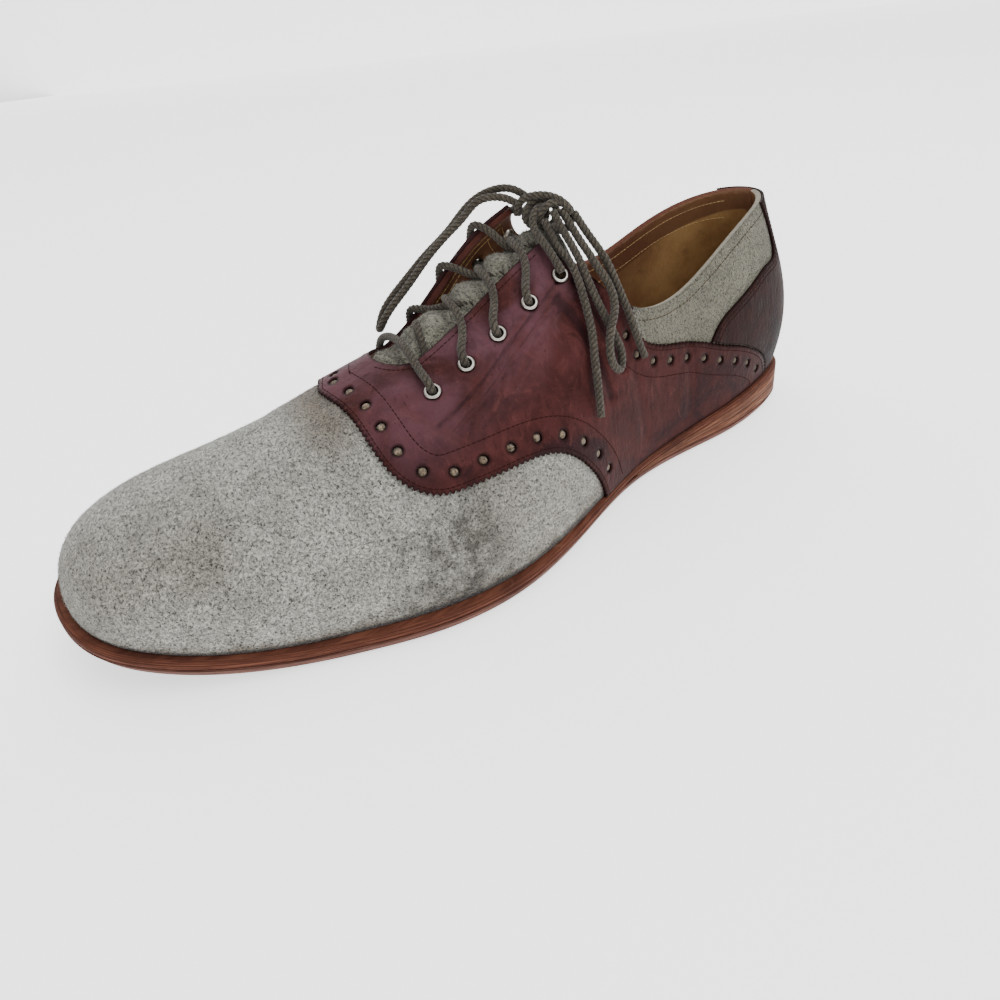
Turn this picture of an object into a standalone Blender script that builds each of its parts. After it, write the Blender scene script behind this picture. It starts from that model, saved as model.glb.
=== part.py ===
"""A saddle shoe for the left foot, standing empty on its sole.

Metres, +X to the toe, +Y to the outer side, +Z up. The pieces are worked out along
the last: the heel's back lies at station 0 and the tip of the toe at station 1.
An empty carries them all, so that the soles' box is centred over the origin.
"""

import math

import bmesh
import bpy
import numpy as np

# The last
last_length = 0.301
ball_width = 0.101
instep_height = 0.1015
heel_bulge = 0.0062
toe_swing = 0.0098

# The ground and the soles
arch_height = 0.0018
toe_spring = 0.0150
outsole_thickness = 0.0038
midsole_thickness = 0.0027
heel_stack = 0.0101
heel_thinnest = 0.0006
welt_reach = 0.0038
sole_inset = 0.0012
sole_bevel = 0.0008
insole_thickness = 0.0025

# Walls and fits
fit_gap = 0.0003
upper_wall = 0.0022
saddle_wall = 0.0012
counter_wall = 0.0010
tongue_wall = 0.0018
tongue_clearance = 0.0006
tongue_ahead = 0.0110
tongue_above = 0.0100
insole_clearance = 0.0010
narrowest = 0.0010
rim_drop = 0.0030

# The openings
throat_width = 0.0315
throat_top_width = 0.0170
throat_length = 0.0641
collar_back_height = 0.0920
collar_low_height = 0.0710
collar_tilt = 0.11
throat_top_height = 0.0985
facing_lift = 0.0105

# Eyelets and laces
eyelet_count = 5
eyelet_front = 0.0093
eyelet_past = 0.0012
eyelet_setback = 0.0145
eyelet_outer = 0.0068
eyelet_tube = 0.0004
eyelet_hole = 0.0042
eyelet_flange = 0.0006
lace_width = 0.0030
lace_slack = 0.0010
lace_arch = 0.0034
lace_pitch = 0.0042
cord_pitch = 0.0060
knot_pitch = 0.0035
lace_colour = (0.102, 0.089, 0.070)

# Sections of the last. Stations are shares of last_length, half-widths and the ridge's
# lean are shares of ball_width, ridge heights above the welt are shares of instep_height.
section_columns = ("station", "outer", "inner", "lean", "ridge")
sections = (
    (0.000, 0.000, 0.000, -0.030, 0.870),
    (0.030, 0.170, 0.170, -0.029, 0.885),
    (0.080, 0.233, 0.246, -0.027, 0.930),
    (0.160, 0.280, 0.292, -0.024, 0.975),
    (0.260, 0.297, 0.298, -0.022, 1.000),
    (0.360, 0.362, 0.288, -0.027, 0.930),
    (0.460, 0.482, 0.306, -0.043, 0.800),
    (0.560, 0.562, 0.367, -0.051, 0.659),
    (0.660, 0.563, 0.437, -0.048, 0.562),
    (0.760, 0.501, 0.463, -0.038, 0.471),
    (0.860, 0.430, 0.434, -0.020, 0.391),
    (0.930, 0.355, 0.357, -0.008, 0.300),
    (0.975, 0.253, 0.238, -0.002, 0.190),
    (1.000, 0.000, 0.000, 0.000, 0.000),
)

# How full each section is: where its flank and crown handles lie, as shares of the
# section's height and half-width, and how far the flank swells past the welt line.
fullness_columns = ("station", "flank", "crown", "swell")
fullness = (
    (0.00, 0.50, 0.60, 0.060),
    (0.30, 0.50, 0.55, 0.050),
    (0.50, 0.45, 0.45, 0.040),
    (0.70, 0.50, 0.58, 0.035),
    (0.90, 0.55, 0.62, 0.030),
    (1.00, 0.56, 0.56, 0.000),
)

# The back seam in side view: heights as shares of collar_back_height, and how far it
# lies before (+) or behind (-) the welt's end, as shares of heel_bulge.
back_seam_columns = ("height", "reach")
back_seam = (
    (0.00, 0.00),
    (0.13, -0.75),
    (0.28, -1.00),
    (0.50, -0.35),
    (0.69, 0.60),
    (0.93, 1.20),
    (1.22, 1.60),
)

# The topline in side view, as stations of last_length and its climb from the low point
# to collar_back_height behind it, or to throat_top_height before it.
topline_columns = ("station", "climb")
topline_back = (
    (-0.060, 1.03),
    (0.000, 1.03),
    (0.050, 0.98),
    (0.100, 0.84),
    (0.150, 0.60),
    (0.190, 0.34),
    (0.225, 0.12),
    (0.262, 0.00),
)
topline_front = (
    (0.290, 0.02),
    (0.320, 0.14),
    (0.350, 0.40),
    (0.375, 0.70),
    (0.395, 0.95),
    (0.405, 1.25),
)

# The saddle's edges in side view: stations of last_length and heights as shares of
# throat_top_height. The front edge runs from the ridge to the welt, the wing's edge
# from the topline back to the welt at the heel.
outline_columns = ("station", "height")
saddle_front = (
    (0.690, 1.20),
    (0.689, 0.68),
    (0.680, 0.61),
    (0.672, 0.54),
    (0.662, 0.475),
    (0.643, 0.432),
    (0.615, 0.411),
    (0.580, 0.408),
    (0.545, 0.414),
    (0.515, 0.412),
    (0.486, 0.390),
    (0.461, 0.345),
    (0.438, 0.265),
    (0.420, 0.160),
    (0.412, -0.10),
)
saddle_wing = (
    (0.318, 1.00),
    (0.316, 0.640),
    (0.300, 0.585),
    (0.260, 0.530),
    (0.213, 0.485),
    (0.175, 0.445),
    (0.143, 0.400),
    (0.105, 0.335),
    (0.078, 0.265),
    (0.060, 0.180),
    (0.054, -0.10),
)
counter_edge = (
    (0.196, 0.475),
    (0.184, 0.503),
    (0.145, 0.580),
    (0.099, 0.633),
    (0.052, 0.682),
    (0.036, 0.730),
    (0.030, 0.820),
    (0.028, 1.150),
)

# How far the sole's edge stands out from the welt line, as shares of welt_reach.
welt_columns = ("station", "reach")
welt = (
    (0.00, 0.95),
    (0.25, 0.68),
    (0.45, 0.53),
    (0.65, 1.00),
    (0.85, 0.79),
    (1.00, 0.89),
)

# The free parts of the lace, in metres from the heel's back: the strand that ties the top
# pair of eyelets together and turns round the knot, the bow's two loops and its two ends.
tie_route = (
    (0.1209, -0.0236, 0.0972),
    (0.1198, -0.0236, 0.1006),
    (0.1180, -0.0212, 0.1034),
    (0.1158, -0.0158, 0.1042),
    (0.1138, -0.0104, 0.1043),
    (0.1131, -0.0066, 0.1050),
    (0.1142, -0.0056, 0.1073),
    (0.1168, -0.0050, 0.1079),
    (0.1192, -0.0044, 0.1064),
    (0.1199, -0.0038, 0.1038),
    (0.1186, -0.0032, 0.1016),
    (0.1160, -0.0026, 0.1012),
    (0.1138, -0.0020, 0.1026),
    (0.1131, -0.0014, 0.1052),
    (0.1146, -0.0008, 0.1076),
    (0.1172, -0.0002, 0.1078),
    (0.1196, 0.0006, 0.1060),
    (0.1213, 0.0026, 0.1030),
    (0.1220, 0.0060, 0.1008),
    (0.1220, 0.0113, 0.0976),
    (0.1218, 0.0160, 0.0938),
    (0.1215, 0.0195, 0.0904),
)
inner_loop_route = (
    (0.1185, -0.0098, 0.1074),
    (0.1225, -0.0126, 0.1104),
    (0.1275, -0.0140, 0.1118),
    (0.1333, -0.0152, 0.1112),
    (0.1389, -0.0166, 0.1066),
    (0.1446, -0.0174, 0.1024),
    (0.1549, -0.0191, 0.0940),
    (0.1626, -0.0204, 0.0862),
    (0.1693, -0.0213, 0.0800),
    (0.1742, -0.0223, 0.0742),
    (0.1757, -0.0242, 0.0709),
    (0.1740, -0.0262, 0.0732),
    (0.1698, -0.0262, 0.0792),
    (0.1610, -0.0256, 0.0868),
    (0.1532, -0.0252, 0.0930),
    (0.1412, -0.0238, 0.1018),
    (0.1370, -0.0234, 0.1056),
    (0.1320, -0.0221, 0.1098),
    (0.1249, -0.0190, 0.1130),
    (0.1190, -0.0148, 0.1130),
    (0.1146, -0.0108, 0.1096),
)
outer_loop_route = (
    (0.1140, 0.0047, 0.1070),
    (0.1142, 0.0095, 0.1024),
    (0.1140, 0.0140, 0.0980),
    (0.1137, 0.0190, 0.0925),
    (0.1136, 0.0238, 0.0858),
    (0.1128, 0.0274, 0.0794),
    (0.1112, 0.0304, 0.0728),
    (0.1091, 0.0331, 0.0657),
    (0.1083, 0.0350, 0.0592),
    (0.1106, 0.0368, 0.0556),
    (0.1139, 0.0374, 0.0586),
    (0.1149, 0.0368, 0.0648),
    (0.1136, 0.0356, 0.0706),
    (0.1106, 0.0338, 0.0752),
    (0.1080, 0.0308, 0.0786),
    (0.1073, 0.0272, 0.0836),
    (0.1083, 0.0230, 0.0888),
    (0.1096, 0.0188, 0.0940),
    (0.1104, 0.0142, 0.0986),
    (0.1105, 0.0095, 0.1028),
    (0.1105, 0.0047, 0.1066),
)
front_end_route = (
    (0.1178, 0.0046, 0.1046),
    (0.1181, 0.0083, 0.1006),
    (0.1183, 0.0124, 0.0968),
    (0.1171, 0.0176, 0.0926),
    (0.1171, 0.0232, 0.0860),
    (0.1178, 0.0282, 0.0774),
    (0.1188, 0.0321, 0.0700),
    (0.1204, 0.0351, 0.0640),
    (0.1221, 0.0387, 0.0556),
    (0.1241, 0.0430, 0.0437),
)
back_end_route = (
    (0.1069, 0.0074, 0.1054),
    (0.1067, 0.0110, 0.1022),
    (0.1060, 0.0146, 0.0985),
    (0.1050, 0.0182, 0.0946),
    (0.1037, 0.0217, 0.0896),
    (0.1027, 0.0251, 0.0830),
    (0.1016, 0.0281, 0.0764),
    (0.1002, 0.0303, 0.0698),
    (0.0989, 0.0322, 0.0627),
    (0.0965, 0.0336, 0.0548),
)


def column(table, columns, name):
    """One column of a table as an array."""
    return np.array([row[columns.index(name)] for row in table], float)


def smooth_curve(xs, ys, at):
    """The natural cubic spline through (xs, ys), read at the given places."""
    xs, ys, at = np.asarray(xs, float), np.asarray(ys, float), np.asarray(at, float)
    count, step = len(xs), np.diff(xs)
    left, right = np.eye(count), np.zeros((count, count))
    for i in range(1, count - 1):
        left[i, i - 1 : i + 2] = step[i - 1], 2 * (step[i - 1] + step[i]), step[i]
        right[i, i - 1 : i + 2] = 6 / step[i - 1], -6 / step[i - 1] - 6 / step[i], 6 / step[i]
    bend = np.linalg.solve(left, right @ ys)
    i = np.clip(np.searchsorted(xs, at, side="right") - 1, 0, count - 2)
    h = xs[i + 1] - xs[i]
    a, b = (xs[i + 1] - at) / h, (at - xs[i]) / h
    return a * ys[i] + b * ys[i + 1] + ((a**3 - a) * bend[i] + (b**3 - b) * bend[i + 1]) * h * h / 6


def ease(share):
    """A smooth step from 0 to 1."""
    share = np.clip(share, 0, 1)
    return share * share * (3 - 2 * share)


def turn_of(station):
    """Stations lie closer together at both ends, so that the ends close round."""
    return np.arccos(1 - 2 * np.clip(np.asarray(station, float), 0, 1)) / math.pi


def station_of(turn):
    return (1 - np.cos(math.pi * np.asarray(turn, float))) / 2


def stretched(points, pitch):
    """A smooth curve through hand-chosen points, read every pitch or so along its run."""
    points = np.asarray(points, float)
    run = np.concatenate([[0.0], np.cumsum(np.linalg.norm(np.diff(points, axis=0), axis=1))])
    at = np.linspace(0.0, run[-1], max(3, round(run[-1] / pitch)) + 1)
    return np.stack([smooth_curve(run, points[:, axis], at) for axis in range(3)], axis=-1)


def ground(station):
    """The sole's underside: flat under the heel and the ball, an arch, and the toe's spring."""
    arch_start, arch_end, spring_start, spring_power = 0.22, 0.60, 0.76, 1.9
    arch = np.sin(math.pi * np.clip((station - arch_start) / (arch_end - arch_start), 0, 1)) ** 2
    spring = np.clip((station - spring_start) / (1 - spring_start), 0, 1) ** spring_power
    return arch_height * arch + toe_spring * spring


def wedge(station):
    """The heel stack's height between outsole and midsole, running out at the waist."""
    wedge_start, wedge_end = 0.02, 0.42
    return heel_stack * (1 - ease((station - wedge_start) / (wedge_end - wedge_start)))


def midsole_bottom(station):
    return ground(station) + outsole_thickness + fit_gap + wedge(station)


def seat(station):
    """The top of the midsole, which the upper and the insole rest on."""
    return midsole_bottom(station) + midsole_thickness


def swing(station):
    """The last's middle line, which turns inward towards the toe."""
    swing_start = 0.5
    return -toe_swing * np.clip((station - swing_start) / (1 - swing_start), 0, 1) ** 2


def half_width(turn, side):
    name = "outer" if side > 0 else "inner"
    turns = turn_of(column(sections, section_columns, "station"))
    return ball_width * smooth_curve(turns, column(sections, section_columns, name), turn)


def last_points(turn, rise, lift=facing_lift):
    """Points of the last. rise runs from -1 at the inner welt line over 0 at the ridge to
    +1 at the outer welt line, and turn from 0 at the heel's back to 1 at the toe's tip."""
    seam_end = 0.42
    turn, rise = np.broadcast_arrays(np.asarray(turn, float), np.asarray(rise, float))
    station = station_of(turn)
    turns = turn_of(column(sections, section_columns, "station"))
    side = np.where(rise < 0, -1.0, 1.0)
    climb = 1 - np.abs(rise)
    lean = ball_width * smooth_curve(turns, column(sections, section_columns, "lean"), turn)
    height = instep_height * smooth_curve(turns, column(sections, section_columns, "ridge"), turn)
    width = np.where(side > 0, half_width(turn, 1), half_width(turn, -1))
    full = column(fullness, fullness_columns, "station")
    flank, crown, swell = (
        np.interp(station, full, column(fullness, fullness_columns, name))
        for name in ("flank", "crown", "swell")
    )
    w0 = (1 - climb) ** 3
    w1 = 3 * (1 - climb) ** 2 * climb
    w2 = 3 * (1 - climb) * climb**2
    w3 = climb**3
    across = side * width - lean
    y = swing(station) + lean + across * (w0 + w1 * (1 + swell) + w2 * crown)
    z = height * (w1 * flank + w2 + w3)
    seam_fade = ease(1 - turn / seam_end)
    reach = smooth_curve(
        column(back_seam, back_seam_columns, "height") * collar_back_height,
        column(back_seam, back_seam_columns, "reach") * heel_bulge,
        z,
    )
    x = last_length * station + seam_fade * reach
    lifted = lift * facing_shape(station, rise)
    return np.stack([x, y - 0.5 * lifted, seat(station) + fit_gap + z + lifted], axis=-1)


def facing_shape(station, rise):
    """The inner facing stands a little open: its edge is raised along the throat."""
    back_start, back_run, front_end, front_run = 0.27, 0.06, 0.61, 0.17
    foot, foot_run, far_edge, edge_run = -0.60, 0.40, 0.11, 0.22
    along = ease((front_end - station) / front_run) * ease((station - back_start) / back_run)
    across = ease((rise - foot) / foot_run) * ease((far_edge - rise) / edge_run)
    return along * across


def last_normals(turn, rise, lift=facing_lift):
    """Outward unit normals of the last, by differences along both directions."""
    turn, rise = np.broadcast_arrays(np.asarray(turn, float), np.asarray(rise, float))
    h = 1e-4
    side = np.where(rise < 0, -1.0, 1.0)
    t0, t1 = np.clip(turn - h, 0, 1 - h), np.clip(turn + h, h, 1 - h)
    inner = np.where(np.abs(rise) > h, rise - side * h, rise)
    outer = np.where(np.abs(rise) < 1 - h, rise + side * h, rise)
    near = np.clip(turn, h, 1 - h)
    along = last_points(t1, rise, lift) - last_points(t0, rise, lift)
    up = last_points(near, inner, lift) - last_points(near, outer, lift)
    normal = np.cross(along, up) * -side[..., None]
    normal[turn >= 1 - 1e-9] = (1.0, 0.0, 0.0)
    return normal / np.linalg.norm(normal, axis=-1, keepdims=True)


def shell_points(turn, rise, offset):
    return last_points(turn, rise) + offset * last_normals(turn, rise)


def plain_points(turn, rise, offset):
    """As shell_points, but with the inner facing lying down."""
    return last_points(turn, rise, 0.0) + offset * last_normals(turn, rise, 0.0)


def new_object(name, mesh, colour, roughness, metallic=0.0):
    obj = bpy.data.objects.new(name, mesh)
    bpy.context.collection.objects.link(obj)
    material = bpy.data.materials.new(name + "_finish")
    material.use_nodes = True
    shader = material.node_tree.nodes["Principled BSDF"]
    shader.inputs["Base Color"].default_value = (*colour, 1.0)
    shader.inputs["Roughness"].default_value = roughness
    shader.inputs["Metallic"].default_value = metallic
    obj.data.materials.append(material)
    obj.parent = shoe
    return obj


def mesh_of(name, points, faces):
    """A closed mesh, welded, with its faces turned outwards."""
    mesh = bpy.data.meshes.new(name)
    mesh.from_pydata([tuple(map(float, p)) for p in points], [], faces)
    solid = bmesh.new()
    solid.from_mesh(mesh)
    bmesh.ops.remove_doubles(solid, verts=solid.verts, dist=1e-6)
    bmesh.ops.dissolve_degenerate(solid, edges=solid.edges, dist=1e-7)
    bmesh.ops.recalc_face_normals(solid, faces=solid.faces)
    solid.to_mesh(mesh)
    solid.free()
    return mesh


def last_form(name, offset, drop, rows=32, columns=18):
    """The whole last as a closed solid, offset from its surface, with its rim carried down by drop.
    An inner form, with an offset below zero, ends in a cap just before the back seam."""
    rises = np.linspace(-1, 1, columns + 1)
    turns = np.linspace(0, 1, rows + 1)
    if offset < 0:
        turns = turns[1:]
    turn, rise = np.meshgrid(turns, rises, indexing="ij")
    grid = shell_points(turn, rise, offset)
    if offset < 0:
        # Near the seam the two sides are narrow, and neither reaches over the ridge.
        ridge = grid[:, columns // 2, 1][:, None]
        least = narrowest * np.abs(rise)
        grid[..., 1] = np.where(rise < 0, np.minimum(grid[..., 1], ridge - least), grid[..., 1])
        grid[..., 1] = np.where(rise > 0, np.maximum(grid[..., 1], ridge + least), grid[..., 1])
    else:
        grid[0] = (grid[0] + grid[0, ::-1]) / 2
        grid[0, columns // 2] = grid[0, columns // 2 + 1]
    grid[-1] = grid[-1].mean(axis=0)
    for edge in (0, -1):
        grid[:, edge, 2] = seat(station_of(turns)) + fit_gap - drop
    across = columns + 1
    faces = []
    for i in range(len(turns) - 1):
        for j in range(across):
            k = (j + 1) % across
            near, far = i * across, (i + 1) * across
            faces.append((near + j, near + k, far + k))
            faces.append((near + j, far + k, far + j))
    if offset < 0:
        for j in range(columns // 2):
            cap = (j, j + 1, columns - 1 - j, columns - j)
            faces.append(tuple(dict.fromkeys(cap)))
    return mesh_of(name, grid.reshape(-1, 3), faces)


def cutter_object(name, mesh):
    obj = bpy.data.objects.new(name, mesh)
    bpy.context.collection.objects.link(obj)
    obj.hide_render = True
    obj.display_type = "WIRE"
    obj.parent = shoe
    return obj


def cut(target, other, operation="DIFFERENCE"):
    modifier = target.modifiers.new(other.name, "BOOLEAN")
    modifier.operation = operation
    modifier.solver = "EXACT"
    modifier.object = other


def prism(name, outline, low, high, axis):
    """An outline drawn in side view (axis y) or top view (axis z), carried from low to high."""
    if axis == "y":
        ends = [[(x, level, z) for x, z in outline] for level in (low, high)]
    else:
        ends = [[(x, y, level) for x, y in outline] for level in (low, high)]
    count = len(outline)
    faces = [tuple(range(count)), tuple(range(2 * count - 1, count - 1, -1))]
    faces += [(i, (i + 1) % count, count + (i + 1) % count, count + i) for i in range(count)]
    return mesh_of(name, ends[0] + ends[1], faces)


def sole_ring(turns, reach):
    """The welt line's outline in top view, carried out by reach at each station, from the
    heel's back along the outer side to the toe and back along the inner side."""
    def line(side, at):
        station = station_of(at)
        return np.stack([last_length * station, swing(station) + side * half_width(at, side)], axis=-1)

    h = 1e-3
    outer, inner = line(1, turns), line(-1, turns)
    ring, stations = [], []
    for side, points in ((1, outer), (-1, inner)):
        ahead, behind = line(side, np.clip(turns + h, 0, 1)), line(side, np.clip(turns - h, 0, 1))
        tangent = ahead - behind
        normal = side * np.stack([-tangent[:, 1], tangent[:, 0]], axis=-1)
        normal[0], normal[-1] = (-1.0, 0.0), (1.0, 0.0)
        normal /= np.linalg.norm(normal, axis=1, keepdims=True)
        stood = points + normal * reach(station_of(turns))[:, None]
        ring.append(stood if side > 0 else stood[-2:0:-1])
        stations.append(station_of(turns) if side > 0 else station_of(turns)[-2:0:-1])
    return np.concatenate(ring), np.concatenate(stations)


def sole_layer(name, levels, rows=32, end=1.0):
    """A layer of the sole as a stack of rings. Each level is (reach, height), both functions
    of the station. Its top and bottom are strips across, so they follow the height lengthwise."""
    turns = np.linspace(0.0, turn_of(end), rows + 1)
    rings = []
    for reach, height in levels:
        ring, stations = sole_ring(turns, reach)
        rings.append(np.column_stack([ring, height(stations)]))
    count = len(rings[0])
    points = np.concatenate(rings)
    faces = []
    for level in range(len(levels) - 1):
        for i in range(count):
            k = (i + 1) % count
            low, high = level * count, (level + 1) * count
            faces.append((low + i, low + k, high + k, high + i))
    for base in (0, (len(levels) - 1) * count):
        for i in range(rows):
            here, there = i, i + 1
            far_here, far_there = (count - i) % count, (count - i - 1) % count
            corners = [base + here, base + there, base + far_there, base + far_here]
            faces.append(tuple(dict.fromkeys(corners)))
    return mesh_of(name, points, faces)


def edge_reach(inset=0.0):
    at, reach = column(welt, welt_columns, "station"), column(welt, welt_columns, "reach")
    return lambda station: welt_reach * smooth_curve(at, reach, station) - inset


def make_soles():
    outsole = sole_layer(
        "outsole",
        (
            (edge_reach(sole_inset + sole_bevel), ground),
            (edge_reach(sole_inset), lambda s: ground(s) + sole_bevel),
            (edge_reach(), lambda s: ground(s) + outsole_thickness),
        ),
    )
    new_object("outsole", outsole, (0.23, 0.12, 0.08), 0.55)
    thinnest = fit_gap + heel_thinnest
    stations = np.linspace(0, 1, 2001)
    wedge_end = stations[wedge(stations) > thinnest].max()
    heel = sole_layer(
        "heel_stack",
        (
            (edge_reach(), lambda s: ground(s) + outsole_thickness + fit_gap),
            (edge_reach(), lambda s: midsole_bottom(s) - fit_gap),
        ),
        rows=26,
        end=wedge_end,
    )
    new_object("heel_stack", heel, (0.25, 0.14, 0.09), 0.6)
    midsole = sole_layer("midsole", ((edge_reach(), midsole_bottom), (edge_reach(), seat)))
    new_object("midsole", midsole, (0.17, 0.08, 0.05), 0.55)
    inside = upper_wall + insole_clearance
    insole = sole_layer(
        "insole",
        (
            (lambda s: -inside + 0 * s, lambda s: seat(s) + fit_gap),
            (lambda s: -inside + 0 * s, lambda s: seat(s) + fit_gap + insole_thickness),
        ),
    )
    new_object("insole", insole, (0.38, 0.26, 0.15), 0.7)


def topline_height(station):
    """The topline's height over the middle line, before the tilt that lowers its outer side."""
    rows = []
    for table, top in ((topline_back, collar_back_height), (topline_front, throat_top_height)):
        for at, climb in table:
            rows.append((at, collar_low_height + climb * (top - collar_low_height)))
    at, height = np.array(rows).T
    return smooth_curve(at, height, station)


def collar_cutter():
    """What lies above the topline, as a prism across the shoe that tilts to the outer side."""
    first, last = topline_back[0][0], topline_front[-1][0]
    reach, top = ball_width, 2 * throat_top_height
    stations = np.linspace(first, last, 30)
    points, count = [], len(stations) + 2
    for y in (-reach, reach):
        lower = topline_height(stations) - collar_tilt * y
        points += [(last_length * s, y, z) for s, z in zip(stations, lower)]
        points += [(last_length * last, y, top), (last_length * first, y, top)]
    faces = [tuple(range(count)), tuple(range(2 * count - 1, count - 1, -1))]
    faces += [(i, (i + 1) % count, count + (i + 1) % count, count + i) for i in range(count)]
    return cutter_object("collar_cutter", mesh_of("collar_cutter", points, faces))


def throat_top():
    return last_length * topline_front[-1][0]


def throat_half_width(x):
    share = (x - throat_top()) / throat_length
    return (throat_top_width + (throat_width - throat_top_width) * share) / 2


def ridge_line(x):
    """The ridge's place across the shoe."""
    station = np.clip(np.asarray(x, float) / last_length, 0, 1)
    turns = turn_of(column(sections, section_columns, "station"))
    lean = smooth_curve(turns, column(sections, section_columns, "lean"), turn_of(station))
    return swing(station) + ball_width * lean


def throat_cutter():
    """The gap between the facings, drawn from above, with a round front end."""
    front = throat_top() + throat_length
    back = throat_top() - throat_length / 2
    corner = throat_half_width(front)
    side = [(x, throat_half_width(x)) for x in np.linspace(back, front - corner, 9)]
    for angle in np.radians(np.linspace(15, 90, 6)[:-1]):
        side.append((front - corner + corner * math.sin(angle), corner * math.cos(angle)))
    outer = [(x, float(ridge_line(x)) + w) for x, w in side]
    inner = [(x, float(ridge_line(x)) - w) for x, w in side]
    outline = outer + [(front, float(ridge_line(front)))] + inner[::-1]
    low, high = instep_height / 3, 2 * throat_top_height
    return cutter_object("throat_cutter", prism("throat_cutter", outline, low, high, "z"))


def shell(name, offset, wall, colour, roughness):
    """A skin over the upper: all between two offsets of the last, before its outline is cut."""
    skin = new_object(name, last_form(name, offset + wall, 0.0), colour, roughness)
    core = cutter_object(name + "_core", last_form(name + "_core", offset, rim_drop))
    cut(skin, core)
    return skin


def outline_points(table):
    at = column(table, outline_columns, "station") * last_length
    return list(zip(at, column(table, outline_columns, "height") * throat_top_height))


def moved_out(points, distance):
    """A side-view line moved to its left by distance."""
    line = np.array(points, float)
    tangent = np.gradient(line, axis=0)
    tangent /= np.linalg.norm(tangent, axis=1, keepdims=True)
    normal = np.stack([-tangent[:, 1], tangent[:, 0]], axis=-1)
    return [tuple(p) for p in line + distance * normal]


def make_saddle(collar, throat, holes):
    front, wing = outline_points(saddle_front), outline_points(saddle_wing)
    # From the ridge down the front edge to the welt, back under the shoe, and up the wing's edge.
    outline = front + wing[::-1] + [(wing[0][0], front[0][1])]
    area = cutter_object(
        "saddle_outline", prism("saddle_outline", outline, -ball_width, ball_width, "y")
    )
    saddle = shell("saddle", fit_gap, saddle_wall, (0.127, 0.052, 0.048), 0.45)
    cut(saddle, area, "INTERSECT")
    cut(saddle, collar)
    cut(saddle, throat)
    cut(saddle, holes)


def make_counter(collar):
    wing = moved_out(outline_points(saddle_wing[2:]), -1.2 * fit_gap)
    edge = outline_points(counter_edge)
    behind = -last_length / 10
    outline = edge + [(behind, edge[-1][1]), (behind, wing[-1][1])] + wing[::-1]
    outline = [p for i, p in enumerate(outline) if p != outline[i - 1]]
    area = cutter_object(
        "counter_outline", prism("counter_outline", outline, -ball_width, ball_width, "y")
    )
    counter = shell("counter", fit_gap, counter_wall, (0.065, 0.028, 0.022), 0.45)
    cut(counter, area, "INTERSECT")
    cut(counter, collar)


def make_tongue():
    """A slab under the facings, from ahead of the throat to a little above the topline."""
    rows, columns, half = 14, 8, 0.37
    back = (throat_top() - tongue_above) / last_length
    front = (throat_top() + throat_length + tongue_ahead) / last_length
    turns = np.linspace(turn_of(back), turn_of(front), rows + 1)
    rises = np.linspace(-half, half, columns + 1)
    turn, rise = np.meshgrid(turns, rises, indexing="ij")
    top = -(upper_wall + tongue_clearance)
    layers = [plain_points(turn, rise, offset) for offset in (top, top - tongue_wall)]
    count = turn.size
    points = np.concatenate([layer.reshape(-1, 3) for layer in layers])
    faces = []
    for i in range(rows):
        for j in range(columns):
            a, b = i * (columns + 1) + j, (i + 1) * (columns + 1) + j
            faces.append((a, b, b + 1, a + 1))
            faces.append(tuple(count + k for k in (a, a + 1, b + 1, b)))
    rim = [j for j in range(columns)]
    rim += [i * (columns + 1) + columns for i in range(rows)]
    rim += [rows * (columns + 1) + j for j in range(columns, 0, -1)]
    rim += [i * (columns + 1) for i in range(rows, 0, -1)]
    for k, a in enumerate(rim):
        b = rim[(k + 1) % len(rim)]
        faces.append((a, b, count + b, count + a))
    tongue = mesh_of("tongue", points, faces)
    new_object("tongue", tongue, (0.27, 0.26, 0.23), 0.95)


def facing_place(x, side, from_edge):
    """The place and outward direction on a facing at x, that far down from the throat's edge."""
    turn = float(turn_of(x / last_length))
    rises = side * np.linspace(1e-6, 0.7, 400)
    line = last_points(np.full(rises.shape, turn), rises)
    run = np.concatenate([[0], np.cumsum(np.linalg.norm(np.diff(line, axis=0), axis=1))])
    from_ridge = np.abs(line[:, 1] - float(ridge_line(x)))
    edge = np.interp(float(throat_half_width(x)), from_ridge, run)
    rise = float(np.interp(edge + from_edge, run, rises))
    return last_points(turn, rise), last_normals(turn, rise)


def eyelet_places():
    """Each eyelet's place and outward direction, front to back, outer then inner of each pair."""
    front = throat_top() + throat_length - eyelet_front
    xs = np.linspace(front, throat_top() - eyelet_past, eyelet_count)
    return [facing_place(x, side, eyelet_setback) for x in xs for side in (1, -1)]


def turned(profile, sides, place, direction):
    """A ring: the profile of (radius, height) turned about a direction through a place."""
    direction = direction / np.linalg.norm(direction)
    first = np.cross(direction, (0.0, 1.0, 0.0))
    first /= np.linalg.norm(first)
    second = np.cross(direction, first)
    points, faces, count = [], [], len(profile)
    for i in range(sides):
        angle = 2 * math.pi * i / sides
        spoke = math.cos(angle) * first + math.sin(angle) * second
        points += [place + r * spoke + h * direction for r, h in profile]
        k = (i + 1) % sides
        for j in range(count):
            m = (j + 1) % count
            faces.append((i * count + j, i * count + m, k * count + m, k * count + j))
    return points, faces


def make_eyelets(places):
    tube, foot = eyelet_hole / 2 + eyelet_tube, 2 * fit_gap + saddle_wall + upper_wall
    profile = (
        (eyelet_hole / 2, eyelet_flange),
        (eyelet_outer / 2 - eyelet_flange / 2, eyelet_flange),
        (eyelet_outer / 2, 0.0),
        (tube, 0.0),
        (tube, -foot),
        (eyelet_hole / 2, -foot),
    )
    for number, (place, direction) in enumerate(places):
        seat_on = place + direction * (2 * fit_gap + saddle_wall)
        points, faces = turned(profile, 10, seat_on, direction)
        side = "outer" if number % 2 == 0 else "inner"
        name = f"eyelet_{side}_{number // 2 + 1}"
        new_object(name, mesh_of(name, points, faces), (0.75, 0.74, 0.72), 0.25, 1.0)


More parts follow.
